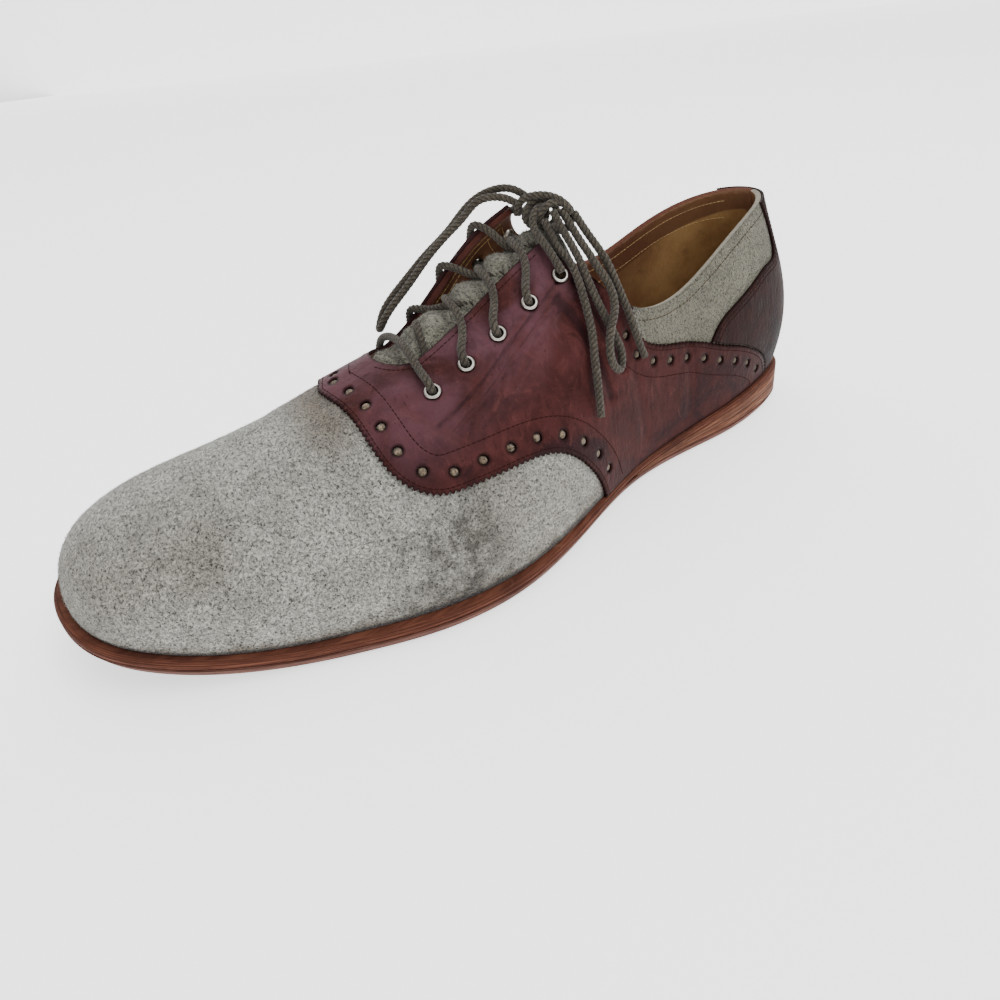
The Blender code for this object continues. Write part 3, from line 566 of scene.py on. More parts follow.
def panel(name, outlines, holes, spacing, inner, outer, surface=shellPoints):
    # A pattern piece of leather lasted over the form: two skins and a bevelled rim. The
    # inner skin takes the second material and the rim the third. "edge" holds each point's
    # way to the rim, and "crease" how far it is pressed in.
    flat, faces = cutPanel(outlines, holes, spacing)
    edgeUse = {}
    for face in faces:
        for k in range(3):
            a, b = int(face[k]), int(face[(k + 1) % 3])
            edgeUse.setdefault((min(a, b), max(a, b)), []).append((a, b))
    borders = [pairs[0] for pairs in edgeUse.values() if len(pairs) == 1]
    rimVertices = sorted({v for pair in borders for v in pair})
    place = {v: i for i, v in enumerate(rimVertices)}
    rim = flat[rimVertices]
    bevelShare, bevelMost = 0.35, 0.0004
    bevel = min((outer - inner) * bevelShare, bevelMost)
    skins = ((flat, outer), (flat, inner), (rim, outer - bevel), (rim, inner + bevel))
    points = [surface(at[:, 0], at[:, 1], np.full(len(at), height)) for at, height in skins]
    uvs = np.concatenate([at for at, _ in skins])
    count, cut = len(flat), len(faces)
    allFaces = [tuple(f) for f in faces] + [tuple(f[::-1] + count) for f in faces]
    ringA, ringB = 2 * count, 2 * count + len(rim)
    for a, b in borders:
        i, j = place[a], place[b]
        allFaces.append((b, a, ringA + i, ringA + j))
        allFaces.append((ringA + j, ringA + i, ringB + i, ringB + j))
        allFaces.append((ringB + j, ringB + i, count + a, count + b))
    obj = meshFrom(name, np.concatenate(points), allFaces, uvs)
    indices = np.full(len(obj.data.polygons), 2, np.int32)
    indices[:cut], indices[cut : 2 * cut] = 0, 1
    obj.data.polygons.foreach_set("material_index", indices)
    toRim = gapTo(rim * formStretch, flat * formStretch)
    pressed = -strokeDepth(flat[:, 0], flat[:, 1]) / creases["deep"]
    for label, values in (("edge", toRim), ("crease", pressed)):
        attribute = obj.data.attributes.new(label, "FLOAT", "POINT")
        values = np.concatenate([values, values, np.zeros(2 * len(rim))])
        attribute.data.foreach_set("value", values.astype(np.float32))
    return obj


# Lines of the pattern
def toplineEdge(side):
    steep, top = 0.37, 0.405
    turns = np.concatenate([
        np.linspace(0.0, float(turnOf(steep)), 90),
        np.linspace(float(turnOf(steep + 0.002)), float(turnOf(top)), 70),
    ])
    return np.stack([turns, edgeRise(turns, side)], -1)


def throatEdge(side):
    back, bend = 0.4052, 0.02
    front = (throatTop() + last["throatLength"]) / last["length"]
    stations = np.concatenate([
        np.linspace(back, front - bend, 60),
        np.linspace(front - bend + 0.0005, front, 40),
    ])
    turns = turnOf(stations)
    rises = edgeRise(turns, side)
    rises[-1] = 0.0
    return np.stack([turns, rises], -1)


toplines = {side: toplineEdge(side) for side in (1, -1)}
throats = {side: throatEdge(side) for side in (1, -1)}
openEdge = {side: np.concatenate([toplines[side], throats[side]]) for side in (1, -1)}
print("pattern lines drawn")


# Camera: at the photograph's place, in the last's coordinates and degrees.
view = {
    "azimuth": 152.75,
    "elevation": 29.3,
    "distance": 0.33574,
    "roll": -6.36,
    "target": (0.11669, -0.04703, 0.00814),
    "focalPixels": 701.69,
    "frame": 1000,
    "axisUp": 100,
    "sensor": 36.0,
    "nearest": 0.01,
}


def makeCamera():
    around, up = math.radians(view["azimuth"]), math.radians(view["elevation"])
    back = Vector((math.sin(around) * math.cos(up), -math.cos(around) * math.cos(up), math.sin(up)))
    target = Vector(np.array(view["target"]) + shift)
    data = bpy.data.cameras.new("camera")
    data.sensor_width = view["sensor"]
    data.lens = view["sensor"] * view["focalPixels"] / view["frame"]
    data.shift_y = -view["axisUp"] / view["frame"]
    data.clip_start = view["nearest"]
    camera = linked("camera", data)
    turn = back.to_track_quat("Z", "Y").to_matrix().to_4x4()
    roll = Matrix.Rotation(math.radians(view["roll"]), 4, "Z")
    camera.matrix_world = Matrix.Translation(target + back * view["distance"]) @ turn @ roll
    bpy.context.scene.camera = camera


# The white room. Each light's name, place, size and power.
stage = {
    "glow": 1.3,
    "sky": 0.60,
    "paint": 0.93,
    "floorSize": 8,
    "floorDrop": 0.0005,
    "backdropSize": 14,
    "backdropAway": 3.5,
    "lights": (
        ("key", (-0.6, 0.9, 1.5), 1.0, 21.0),
        ("fill", (1.1, 0.9, 0.9), 1.4, 5.0),
        ("top", (0.0, -0.3, 1.7), 1.4, 10.0),
    ),
}
white = (1.0, 1.0, 1.0, 1.0)


def makeStage():
    pale = Finish("floorPaint")
    pale.surface((stage["paint"],) * 3, 0.95, Emission_Color=white, Emission_Strength=stage["glow"])
    bpy.ops.mesh.primitive_plane_add(size=stage["floorSize"], location=(0, 0, -stage["floorDrop"]))
    floor = bpy.context.object
    floor.name = "floor"
    paint(floor, pale.material)
    around = math.radians(view["azimuth"])
    away = Vector((-math.sin(around), math.cos(around), 0.0)) * stage["backdropAway"]
    upright = (math.pi / 2, 0, around)
    bpy.ops.mesh.primitive_plane_add(size=stage["backdropSize"], location=away, rotation=upright)
    backdrop = bpy.context.object
    backdrop.name = "backdrop"
    paint(backdrop, pale.material)
    world = bpy.data.worlds.new("studio")
    world.use_nodes = True
    sky = world.node_tree.nodes["Background"].inputs
    sky["Color"].default_value, sky["Strength"].default_value = white, stage["sky"]
    bpy.context.scene.world = world
    for name, place, size, power in stage["lights"]:
        bpy.ops.object.light_add(type="AREA", location=place)
        light = bpy.context.object
        light.name = name
        light.data.size, light.data.energy = size, power
        light.rotation_euler = (-Vector(place)).to_track_quat("-Z", "Y").to_euler()


# Materials: a socket that does sums, so that a pattern reads as a formula.
class Sock:
    def __init__(self, tree, socket):
        self.tree, self.socket = tree, socket

    def math(self, kind, *others):
        node = self.tree.nodes.new("ShaderNodeMath")
        node.operation = kind
        for slot, value in enumerate((self, *others)):
            if isinstance(value, Sock):
                self.tree.links.new(value.socket, node.inputs[slot])
            else:
                node.inputs[slot].default_value = value
        return Sock(self.tree, node.outputs[0])

    def __add__(self, other):
        return self.math("ADD", other)

    def __sub__(self, other):
        return self.math("SUBTRACT", other)

    def __mul__(self, other):
        return self.math("MULTIPLY", other)

    def __truediv__(self, other):
        return self.math("DIVIDE", other)

    __radd__ = __add__

    def __rsub__(self, other):
        return self.math("MULTIPLY", -1.0).math("ADD", other)

    def step(self, low, high):
        return self.tree.map(self, low, high)


class Finish:
    # One material's node tree, with a method for each kind of node that it needs.
    def __init__(self, name):
        self.material = bpy.data.materials.new(name)
        self.material.use_nodes = True
        self.tree = self.material.node_tree
        self.nodes, self.links = self.tree.nodes, self.tree.links
        self.shader = self.nodes["Principled BSDF"]

    def node(self, kind, output, **inputs):
        settings = inputs.pop("settings", {})
        node = self.nodes.new(kind)
        for name, value in settings.items():
            setattr(node, name, value)
        for name, value in inputs.items():
            socket = node.inputs[name.replace("_", " ")]
            if isinstance(value, Sock):
                self.links.new(value.socket, socket)
            elif value is not None:
                socket.default_value = value
        return Sock(self, node.outputs[output])

    def place(self):
        return self.node("ShaderNodeTexCoord", "Object")

    def form(self):
        return self.node("ShaderNodeUVMap", "UV", settings={"uv_map": "form"})

    def parts(self, vector):
        node = self.nodes.new("ShaderNodeSeparateXYZ")
        self.links.new(vector.socket, node.inputs[0])
        return tuple(Sock(self, node.outputs[k]) for k in range(3))

    def stretch(self, vector, scale, turn=(0, 0, 0)):
        return self.node("ShaderNodeMapping", "Vector", Vector=vector, Scale=scale, Rotation=turn)

    def noise(self, vector, scale, detail, roughness, warp=0.0):
        return self.node(
            "ShaderNodeTexNoise", "Fac",
            Vector=vector, Scale=scale, Detail=detail, Roughness=roughness, Distortion=warp,
        )

    def cells(self, vector, scale):
        return self.node("ShaderNodeTexVoronoi", "Distance", Vector=vector, Scale=scale)

    def attribute(self, name):
        return self.node("ShaderNodeAttribute", "Fac", settings={"attribute_name": name})

    def map(self, value, low, high):
        ends, smooth = {"From_Min": low, "From_Max": high}, {"interpolation_type": "SMOOTHSTEP"}
        return self.node("ShaderNodeMapRange", "Result", Value=value, settings=smooth, **ends)

    def mix(self, share, first, second, blend="MIX"):
        node = self.nodes.new("ShaderNodeMix")
        node.data_type = "RGBA"
        node.blend_type = blend
        for slot, value in ((0, share), (6, first), (7, second)):
            if isinstance(value, Sock):
                self.links.new(value.socket, node.inputs[slot])
            else:
                node.inputs[slot].default_value = (*value, 1.0) if slot else value
        return Sock(self, node.outputs[2])

    def coats(self, colour, *coats, blend="MIX"):
        # One colour over the other: each coat is its share and its colour.
        for share, tone in coats:
            colour = self.mix(share, colour, tone, blend)
        return colour

    def bump(self, height, strength, distance, below=None):
        lengths = {"Strength": strength, "Distance": distance}
        return self.node("ShaderNodeBump", "Normal", Height=height, Normal=below, **lengths)

    def surface(self, colour, roughness, normal=None, **constants):
        for name, value in (("Base Color", colour), ("Roughness", roughness), ("Normal", normal)):
            if isinstance(value, Sock):
                self.links.new(value.socket, self.shader.inputs[name])
            elif value is not None:
                self.shader.inputs[name].default_value = (*value, 1.0) if name == "Base Color" else value
        for name, value in constants.items():
            self.shader.inputs[name.replace("_", " ")].default_value = value
        return self.material


def srgb(red, green, blue):
    # A colour as a paint chip is read, in 0 to 255, made linear.
    def linear(value):
        value = value / 255
        return value / 12.92 if value <= 0.04045 else ((value + 0.055) / 1.055) ** 2.4

    return tuple(linear(value) for value in (red, green, blue))


def finished(obj, slotName, *nodes):
    if nodes:
        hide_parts(*nodes)
    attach(obj, "root")


# The suede
suede = {
    "light": srgb(190, 189, 180),
    "dark": srgb(58, 57, 52),
    "soil": srgb(150, 124, 98),
    "grime": srgb(92, 86, 82),
    "spacing": 0.0017,
    "fibres": 46000,
    "fibreLength": 0.0010,
    "fibreWidth": 0.00013,
}


def suedeMaterial(name, shade=(1.0, 1.0, 1.0)):
    made = Finish(name)
    place = made.place()
    turn, rise, _ = made.parts(made.form())
    side = rise.math("ABSOLUTE")
    fibre = made.noise(place, 1250.0, 2.0, 0.6, 0.8)
    strand = made.noise(made.stretch(place, (1.0, 0.4, 1.0), (0.2, 0.1, 0.5)), 1500.0, 2.0, 0.6, 1.0)
    nap = made.noise(place, 70.0, 5.0, 0.62, 0.4)
    cloud = made.noise(place, 16.0, 3.0, 0.5)
    mixed = fibre.step(0.36, 0.58) * 0.5 + strand.step(0.36, 0.58) * 0.5
    # Soil rubbed into the toe, the ball, the saddle's tip and along the welt.
    toe = turn.step(0.80, 0.98) * made.noise(place, 50.0, 6.0, 0.7).step(0.40, 0.70)
    ball = (1.0 - ((turn - 0.585).math("ABSOLUTE") / 0.065).step(0.0, 1.0)) * side.step(0.42, 0.80)
    ball = ball * made.noise(place, 130.0, 6.0, 0.75).step(0.32, 0.62)
    tip = (1.0 - ((turn - 0.63).math("ABSOLUTE") / 0.035).step(0.0, 1.0)) * (1.0 - side.step(0.15, 0.42))
    welt = side.step(0.90, 1.0) * made.noise(place, 170.0, 4.0, 0.7).step(0.30, 0.65)
    seam = side.step(0.968, 0.992)
    colour = made.coats(
        made.mix(mixed, suede["dark"], suede["light"]),
        ((1.0 - nap.step(0.34, 0.62)) * 0.30, srgb(150, 148, 144)),
        (cloud.step(0.46, 0.70) * 0.45, srgb(205, 198, 186)),
        (toe * 0.62, suede["soil"]),
        (ball * 0.95, suede["grime"]),
        (tip * 0.70, suede["soil"]),
        (welt * 0.75, suede["soil"]),
        (seam * 0.85, srgb(84, 66, 56)),
        (1.0 - turn.step(0.36, 0.43), srgb(172, 168, 152)),
        (1.0, shade),
        blend="MULTIPLY",
    )
    normal = made.bump(mixed, 0.8, 0.0006, made.bump(nap, 0.30, 0.0010))
    sheen = {"Sheen_Weight": 0.25, "Sheen_Roughness": 0.5}
    return made.surface(colour, 0.95, normal, Specular_IOR_Level=0.15, **sheen)


def liningMaterial():
    # Worn tan leather, darker towards the toe, with a brown band along the edge.
    made = Finish("liningLeather")
    place = made.place()
    cloud = made.noise(place, 40.0, 5.0, 0.6)
    grain = made.noise(place, 700.0, 4.0, 0.6)
    worn = made.noise(place, 90.0, 6.0, 0.7, 0.5)
    turn = made.parts(made.form())[0]
    band = 1.0 - made.attribute("edge").step(0.0108, 0.0122)
    colour = made.coats(
        made.mix(cloud.step(0.35, 0.70), srgb(140, 102, 60), srgb(176, 138, 88)),
        (worn.step(0.55, 0.75) * 0.55, srgb(84, 60, 40)),
        (turn.step(0.18, 0.34) * 0.75, srgb(84, 46, 28)),
        (band * 0.80, made.mix(worn, srgb(66, 34, 22), srgb(112, 68, 42))),
    )
    normal = made.bump(grain + worn * 0.6, 0.35, 0.0004)
    return made.surface(colour, 0.62 + grain * 0.2, normal)


def rimMaterial():
    # The cut edge: dark in the throat and on the inner side, suede round the outer collar.
    made = Finish("cutEdge")
    turn, rise, _ = made.parts(made.form())
    grain = made.noise(made.place(), 700.0, 4.0, 0.6)
    front = made.mix(grain, srgb(44, 20, 17), srgb(84, 44, 36))
    back = made.mix(grain, srgb(92, 88, 78), srgb(156, 150, 136))
    brown = made.mix(grain, srgb(62, 32, 24), srgb(100, 60, 44))
    back = made.mix(rise.math("LESS_THAN", 0.0), back, brown)
    colour = made.mix(turn.step(0.395, 0.425), back, front)
    return made.surface(colour, 0.8, made.bump(grain, 0.4, 0.0004), Specular_IOR_Level=0.15)


def closedOutline():
    # The upper's whole pattern: up the outer topline and throat, back by the inner one,
    # down the heel and round the welt.
    spacing, turnEnd = suede["spacing"], 0.9985
    topOuter, topInner = (evenly(openEdge[side], spacing * 0.7) for side in (1, -1))
    heelInner = evenly([tuple(topInner[0]), (0.0, -1.0)], spacing)
    weltInner = evenly([(0.0, -1.0), (turnEnd, -1.0)], spacing)
    toe = evenly([(turnEnd, -1.0), (turnEnd, 1.0)], count=12)
    weltOuter = evenly([(turnEnd, 1.0), (0.0, 1.0)], spacing)
    heelOuter = evenly([(0.0, 1.0), tuple(topOuter[0])], spacing)
    parts = (topInner[::-1], heelInner, weltInner, toe, weltOuter, heelOuter[:-1])
    return np.concatenate([topOuter] + [part[1:] for part in parts])


upperOutline = closedOutline()


def eyeletHoles():
    return [ringAt(turn, rise, eyelets["opening"], 20) for turn, rise, _, _ in eyeletPlaces]


def makeUpper():
    upper = panel("upper_suede", [upperOutline], eyeletHoles(), suede["spacing"], -last["upperWall"], 0.0)
    paint(upper, suedeMaterial("suedeNap"), liningMaterial(), rimMaterial())
    finished(upper, "grey_suede", "upper")


def onLeather(points):
    # Which flat points the saddle or the counter covers.
    covered = insideOf(saddleOutline(), points)
    for side in (1, -1):
        covered |= insideOf(counterOutline(side), points)
    return covered


def fibresFrom(name, flat, surface, height, seed, nap):
    # Each fibre is a thin four-faced spike that leans over the suede.
    chance = np.random.default_rng(seed)
    count = len(flat)
    root = surface(flat[:, 0], flat[:, 1], np.full(count, height))
    normal = lastNormals(flat[:, 0], flat[:, 1])
    loose = chance.normal(size=(count, 3))
    lean = unit(loose - (loose * normal).sum(1)[:, None] * normal)
    across = np.cross(normal, lean)
    long = suede["fibreLength"] * chance.uniform(0.5, 1.3, count)[:, None]
    wide = suede["fibreWidth"] * chance.uniform(0.7, 1.3, count)[:, None]
    steep = chance.uniform(0.15, 0.75, count)[:, None]
    way = lean * np.sqrt(1 - steep**2) + normal * steep
    corners = [root + across * wide / 2, root - across * wide / 2, root + np.cross(way, across) * wide * 0.6]
    points = np.stack(corners + [root + way * long], axis=1).reshape(-1, 3)
    start = 4 * np.arange(count)[:, None]
    faces = np.concatenate([start + np.array(face) for face in ((0, 2, 1), (0, 1, 3), (1, 2, 3), (2, 0, 3))])
    obj = meshFrom(name, points, faces, np.repeat(flat, 4, axis=0), smooth=False)
    paint(obj, nap)
    finished(obj, "grey_suede")


def makeNap():
    # Spread evenly over the suede: tried at random, and kept by the form's area there.
    chance = np.random.default_rng(11)
    tries = suede["fibres"] * 5
    flat = np.column_stack([chance.uniform(0.0, 0.998, tries), chance.uniform(-0.995, 0.995, tries)])
    alongTurn, alongRise = slopes(flat[:, 0], flat[:, 1])
    area = np.linalg.norm(np.cross(alongTurn, alongRise), axis=1)
    flat = flat[area > chance.uniform(0, np.percentile(area, 99), tries)]
    flat = flat[insideOf(upperOutline, flat)]
    flat = flat[~onLeather(flat)][: suede["fibres"]]
    fibresFrom("suede_nap", flat, shellPoints, -0.00005, 3, bpy.data.materials["suedeNap"])


# The eyelets: their places as the solids have them, and the profile of one.
eyelets = {
    "count": 5,
    "opening": 0.0026,
    "front": 0.0093,
    "past": 0.0012,
    "setback": 0.0145,
    "outer": 0.0058,
    "hole": 0.0042,
    "tube": 0.0004,
    "flange": 0.0006,
    "bead": 0.0006,
}


def facingPlace(x, side, fromEdge):
    # The flat place on a facing at x, that far down from the throat's edge.
    turn = float(turnOf(x / last["length"]))
    rises = side * np.linspace(1e-6, 0.7, 400)
    line = lastPoints(np.full(rises.shape, turn), rises)
    run = runOf(line)
    fromRidge = np.abs(line[:, 1] - float(ridgeLine(x)))
    edge = np.interp(float(throatHalfWidth(x)), fromRidge, run)
    return turn, float(np.interp(edge + fromEdge, run, rises))


def findEyelets():
    front = throatTop() + last["throatLength"] - eyelets["front"]
    places = []
    for x in np.linspace(front, throatTop() - eyelets["past"], eyelets["count"]):
        for side in (1, -1):
            turn, rise = facingPlace(x, side, eyelets["setback"])
            places.append((turn, rise, lastPoints(turn, rise) + shift, lastNormals(turn, rise)))
    return places


eyeletPlaces = findEyelets()


def metalMaterial():
    made = Finish("eyeletMetal")
    place = made.place()
    rub = made.noise(place, 900.0, 3.0, 0.6)
    tarnish = made.noise(place, 260.0, 4.0, 0.6)
    colour = made.mix(tarnish.step(0.45, 0.75) * 0.5, srgb(188, 183, 174), srgb(112, 102, 88))
    return made.surface(colour, 0.22 + rub * 0.25, made.bump(rub, 0.2, 0.0001), Metallic=1.0)


def makeEyelets():
    # Each eyelet is a rolled rim and its barrel: a profile spun about its own axis.
    metal = metalMaterial()
    base = 2 * last["fitGap"] + last["saddleWall"]
    deep = base + last["upperWall"]
    hole, outer, bead, flange = eyelets["hole"] / 2, eyelets["outer"] / 2, eyelets["bead"], eyelets["flange"]
    profile = [
        (outer - bead + bead * math.cos(a), flange * 0.35 + 0.0005 * math.sin(a))
        for a in np.radians(np.linspace(-40, 140, 9))
    ]
    profile += [
        (hole + bead - bead * math.sin(a), flange * 0.2 + bead * math.cos(a))
        for a in np.radians(np.linspace(10, 90, 6))
    ]
    profile += [(hole, -deep), (hole + eyelets["tube"], -deep), (hole + eyelets["tube"], -0.0001)]
    for number, (_, _, place, normal) in enumerate(eyeletPlaces):
        direction = Vector(normal)
        first = direction.orthogonal().normalized()
        centre = Vector(place) + direction * base
        points = [centre + first * r + direction * h for r, h in profile]
        edges = [(k, (k + 1) % len(points)) for k in range(len(points))]
        name = f"eyelet_{'outer' if number % 2 == 0 else 'inner'}_{number // 2 + 1}"
        mesh = bpy.data.meshes.new(name + "_metal")
        mesh.from_pydata(points, edges, [])
        ring = linked(name + "_metal", mesh)
        activate(ring)
        bpy.ops.object.mode_set(mode="EDIT")
        bpy.ops.mesh.select_all(action="SELECT")
        bpy.ops.mesh.spin(steps=36, angle=2 * math.pi, center=centre, axis=direction, dupli=False)
        bpy.ops.mesh.select_all(action="SELECT")
        bpy.ops.mesh.remove_doubles(threshold=1e-6)
        bpy.ops.mesh.normals_make_consistent(inside=False)
        bpy.ops.object.mode_set(mode="OBJECT")
        bpy.ops.object.shade_smooth()
        paint(ring, metal)
        finished(ring, "eyelet_metal", name)


# The saddle and the counter
leather = {
    "spacing": 0.0013,
    "holeRadius": 0.00175,
    "holeInset": 0.0064,
    "holePitch": 0.0099,
    "innerRow": 0.0124,
    "outerRow": 0.0020,
    "toothPitch": 0.0021,
    "toothDepth": 0.0010,
    "underHole": (1.0, 0.7, 0.35),
    "underSides": 14,
    "underInset": 0.00005,
    "underDepth": 0.25,
    "swell": (-0.0004, 0.0003, 0.0005),
    "backTop": 0.20,
    "wingGap": 0.0004,
}


def leatherMaterial(name, tones):
    low, mid, high, deep, paintedSheen = tones
    made = Finish(name)
    place = made.place()
    turn, rise, _ = made.parts(made.form())
    side = rise.math("ABSOLUTE")
    edge = made.attribute("edge")
    pores = made.cells(place, 1100.0)
    grain = made.noise(place, 600.0, 5.0, 0.6)
    mottle = made.noise(place, 55.0, 6.0, 0.65, 0.6)
    patch = made.noise(place, 20.0, 4.0, 0.6, 0.8)
    streak = made.noise(made.stretch(place, (1.0, 1.0, 0.30)), 130.0, 6.0, 0.7, 1.2)
    wrinkle = made.noise(made.stretch(place, (1.0, 0.6, 0.35)), 260.0, 4.0, 0.6, 2.0)
    stain = made.noise(place, 36.0, 6.0, 0.7, 1.0)
    facing = (1.0 - side.step(0.28, 0.60)) * turn.step(0.40, 0.46)
    fold = made.attribute("crease") * (0.4 + wrinkle * 1.2)
    # Painted shade darkens creased leather in the trough, and a painted highlight lightens it beside it.
    colour = made.coats(
        made.mix(mottle.step(0.34, 0.66), low, mid),
        (streak.step(0.50, 0.74) * 0.5, high),
        # Painted sheen: a pale purple tone over the top of the facings.
        (facing * patch.step(0.34, 0.58) * 0.62, paintedSheen),
        ((1.0 - turn.step(0.30, 0.46)) * 0.40, low),
        (patch.step(0.54, 0.70) * 0.80, deep),
        (stain.step(0.60, 0.70) * 0.7, deep),
        (wrinkle.step(0.60, 0.72) * 0.30, high),
        ((1.0 - wrinkle.step(0.28, 0.40)) * 0.5, deep),
        (fold.step(0.06, 0.40) * (1.0 - fold.step(0.30, 0.60)) * 0.16, high),
        (fold.step(0.22, 1.0) * 0.62, deep),
        ((1.0 - edge.step(0.0, 0.0012)) * 0.8, srgb(30, 15, 13)),
        (grain.step(0.56, 0.72) * 0.22, high),
    )
    rough = 0.36 + mottle * 0.30 + grain * 0.10
    broad = made.bump(mottle + streak * 0.5, 0.40, 0.0014)
    fine = made.bump(wrinkle + grain * 0.4, 0.55, 0.0005, broad)
    tiny = made.bump(pores, 0.22, 0.0002, fine)
    return made.surface(colour, rough, tiny, Specular_IOR_Level=0.06)


# The tones of each leather: low, mid, high, deep and the painted purple sheen on the facings' tops.
oxblood = (srgb(45, 21, 20), srgb(67, 34, 33), srgb(93, 52, 48), srgb(30, 16, 20), srgb(98, 66, 76))
darkOxblood = (srgb(29, 15, 14), srgb(44, 24, 21), srgb(70, 41, 34), srgb(14, 10, 17), srgb(46, 31, 35))


halfFront = splined(frontLine)
frontEdge = np.concatenate([mirrored(halfFront)[::-1], halfFront[1:]])
wingEdge = {1: splined(wingLine), -1: mirrored(splined(wingLine))}
counterEdge = {1: splined(counterLine), -1: mirrored(splined(counterLine))}


def holeCentres():
    # The punched holes run beside the saddle's front and along both wings.
    inset, pitch = leather["holeInset"], leather["holePitch"]
    row = evenly(beside(halfFront, inset), pitch)
    rows = [row[:-1], mirrored(row[1:-1])]
    for side in (1, -1):
        wing = beside(evenly(wingEdge[side], 0.002), -side * inset)
        rows.append(evenly(wing[8:], pitch)[:-1])
    return [tuple(p) for p in np.concatenate(rows)]


def saddleOutline():
    deep = leather["toothDepth"]
    front = pinked(frontEdge, deep)
    outer, inner = (pinked(wingEdge[side], -side * deep) for side in (1, -1))
    outerWelt = evenly([tuple(front[-1]), tuple(outer[-1])], leather["spacing"])[1:-1]
    innerWelt = evenly([tuple(inner[-1]), tuple(front[0])], leather["spacing"])[1:-1]
    return np.concatenate([front, outerWelt, outer[::-1], inner, innerWelt])


def overlay(name, outline, holes, wall, skin, slotName, node):
    # A leather piece lying on the upper.
    low, outlines = last["fitGap"], [outline, upperOutline]
    piece = panel(name, outlines, holes, leather["spacing"], low, low + last[wall])
    paint(piece, skin, skin, skin)
    finished(piece, slotName, node)


def makeSaddle():
    holes = eyeletHoles()
    holes += [ringAt(turn, rise, leather["holeRadius"], 18) for turn, rise in holeCentres()]
    skin = leatherMaterial("oxbloodLeather", oxblood)
    overlay("saddle_leather", saddleOutline(), holes, "saddleWall", skin, "saddle_leather", "saddle")


def makeHoleBacking():
    # The suede swells up a little in each punched hole.
    rings, sides, wide = leather["underHole"], leather["underSides"], leather["holeRadius"]
    points, faces, uvs = [], [], []
    base = last["fitGap"] + last["saddleWall"] * leather["underDepth"]
    for turn, rise in holeCentres():
        if not insideOf(upperOutline, np.array([(turn, rise)]))[0]:
            continue
        faces += tubeFaces(len(points), len(rings), sides)
        for share, swell in zip(rings, leather["swell"]):
            ring = ringAt(turn, rise, (wide - leather["underInset"]) * share, sides)
            points += list(shellPoints(ring[:, 0], ring[:, 1], np.full(sides, base + swell)))
            uvs += [tuple(p) for p in ring]
    backing = meshFrom("brogue_suede", points, faces, uvs)
    paint(backing, suedeMaterial("brogueNap", srgb(206, 182, 160)))
    finished(backing, "grey_suede")


def counterOutline(side):
    spacing, backTop = leather["spacing"], (0.0, side * leather["backTop"])
    line = evenly(counterEdge[side], spacing)
    wing = beside(evenly(wingEdge[side], spacing), side * leather["wingGap"])
    start = int(np.argmin(np.abs(wing[:, 0] - line[0, 0])))
    heel = evenly([backTop, (0.0, side * 1.0)], spacing)
    welt = evenly([(0.0, side * 1.0), tuple(wing[-1])], spacing)
    return np.concatenate([line, [backTop], heel[1:], welt[1:-1], wing[start:][::-1]])


def makeCounter():
    skin = leatherMaterial("darkLeather", darkOxblood)
    for side, label in ((1, "outer"), (-1, "inner")):
        name = f"counter_leather_{label}"
        overlay(name, counterOutline(side), [], "counterWall", skin, "counter_leather", "counter")


# The soles. Each row of a profile: inset, share of the layer's height, and a step up from it.
sole = {
    "rows": 150,
    "sharp": 40,
    "outsole": (
        (0.0022, 0.0, 0.0), (0.0015, 0.0, 0.0003), (0.0012, 0.0, 0.0009), (0.00072, 0.5, 0.0),
        (0.0002, 0.8, 0.0), (0.0, 1.0, -0.0004), (0.0004, 1.0, 0.0),
    ),
    "midsole": (
        (0.0004, 0.0, 0.0), (0.0, 0.0, 0.0004), (0.0, 0.6, 0.0), (0.0003, 1.0, -0.0006),
        (0.0007, 1.0, -0.0002), (0.0016, 1.0, 0.0),
    ),
    "heel": (
        (0.0003, 0.0), (0.0, 0.04), (0.0, 1 / 3 - 0.02), (0.0003, 1 / 3), (0.0, 1 / 3 + 0.02),
        (0.0, 2 / 3 - 0.02), (0.0003, 2 / 3), (0.0, 2 / 3 + 0.02), (0.0, 0.96), (0.0003, 1.0),
    ),
}


def solePiece(name, levels, material, slotName, node, end=1.0):
    # A layer of the sole as a stack of rings. Each level is (inset, height over the station).
    rows, top = sole["rows"], len(levels) - 1
    turns = np.linspace(0.0, float(turnOf(end)), rows + 1)
    points, uvs, faces = [], [], []
    for number, (inset, height) in enumerate(levels):
        ring, stations = soleRing(turns, lambda s: edgeReach(s) - inset)
        points.append(np.column_stack([ring, height(stations)]) + shift)
        uvs.append(np.column_stack([runOf(ring), np.full(len(ring), number / top)]))
    count = len(points[0])
    for low in range(0, top * count, count):
        for i in range(count):
            k = (i + 1) % count
            faces.append((low + i, low + count + i, low + count + k, low + k))
    for base, way in ((0, 1), (top * count, -1)):
        for i in range(rows):
            corners = (i, i + 1, (count - i - 1) % count, (count - i) % count)
            faces.append(tuple(base + corner for corner in dict.fromkeys(corners))[::way])
    obj = meshFrom(name, np.concatenate(points), faces, np.concatenate(uvs), smooth=False)
    solid = bmesh.new()
    solid.from_mesh(obj.data)
    bmesh.ops.recalc_face_normals(solid, faces=solid.faces)
    solid.to_mesh(obj.data)
    solid.free()
    activate(obj)
    bpy.ops.object.shade_smooth_by_angle(angle=math.radians(sole["sharp"]))
    paint(obj, material)
    finished(obj, slotName, node)


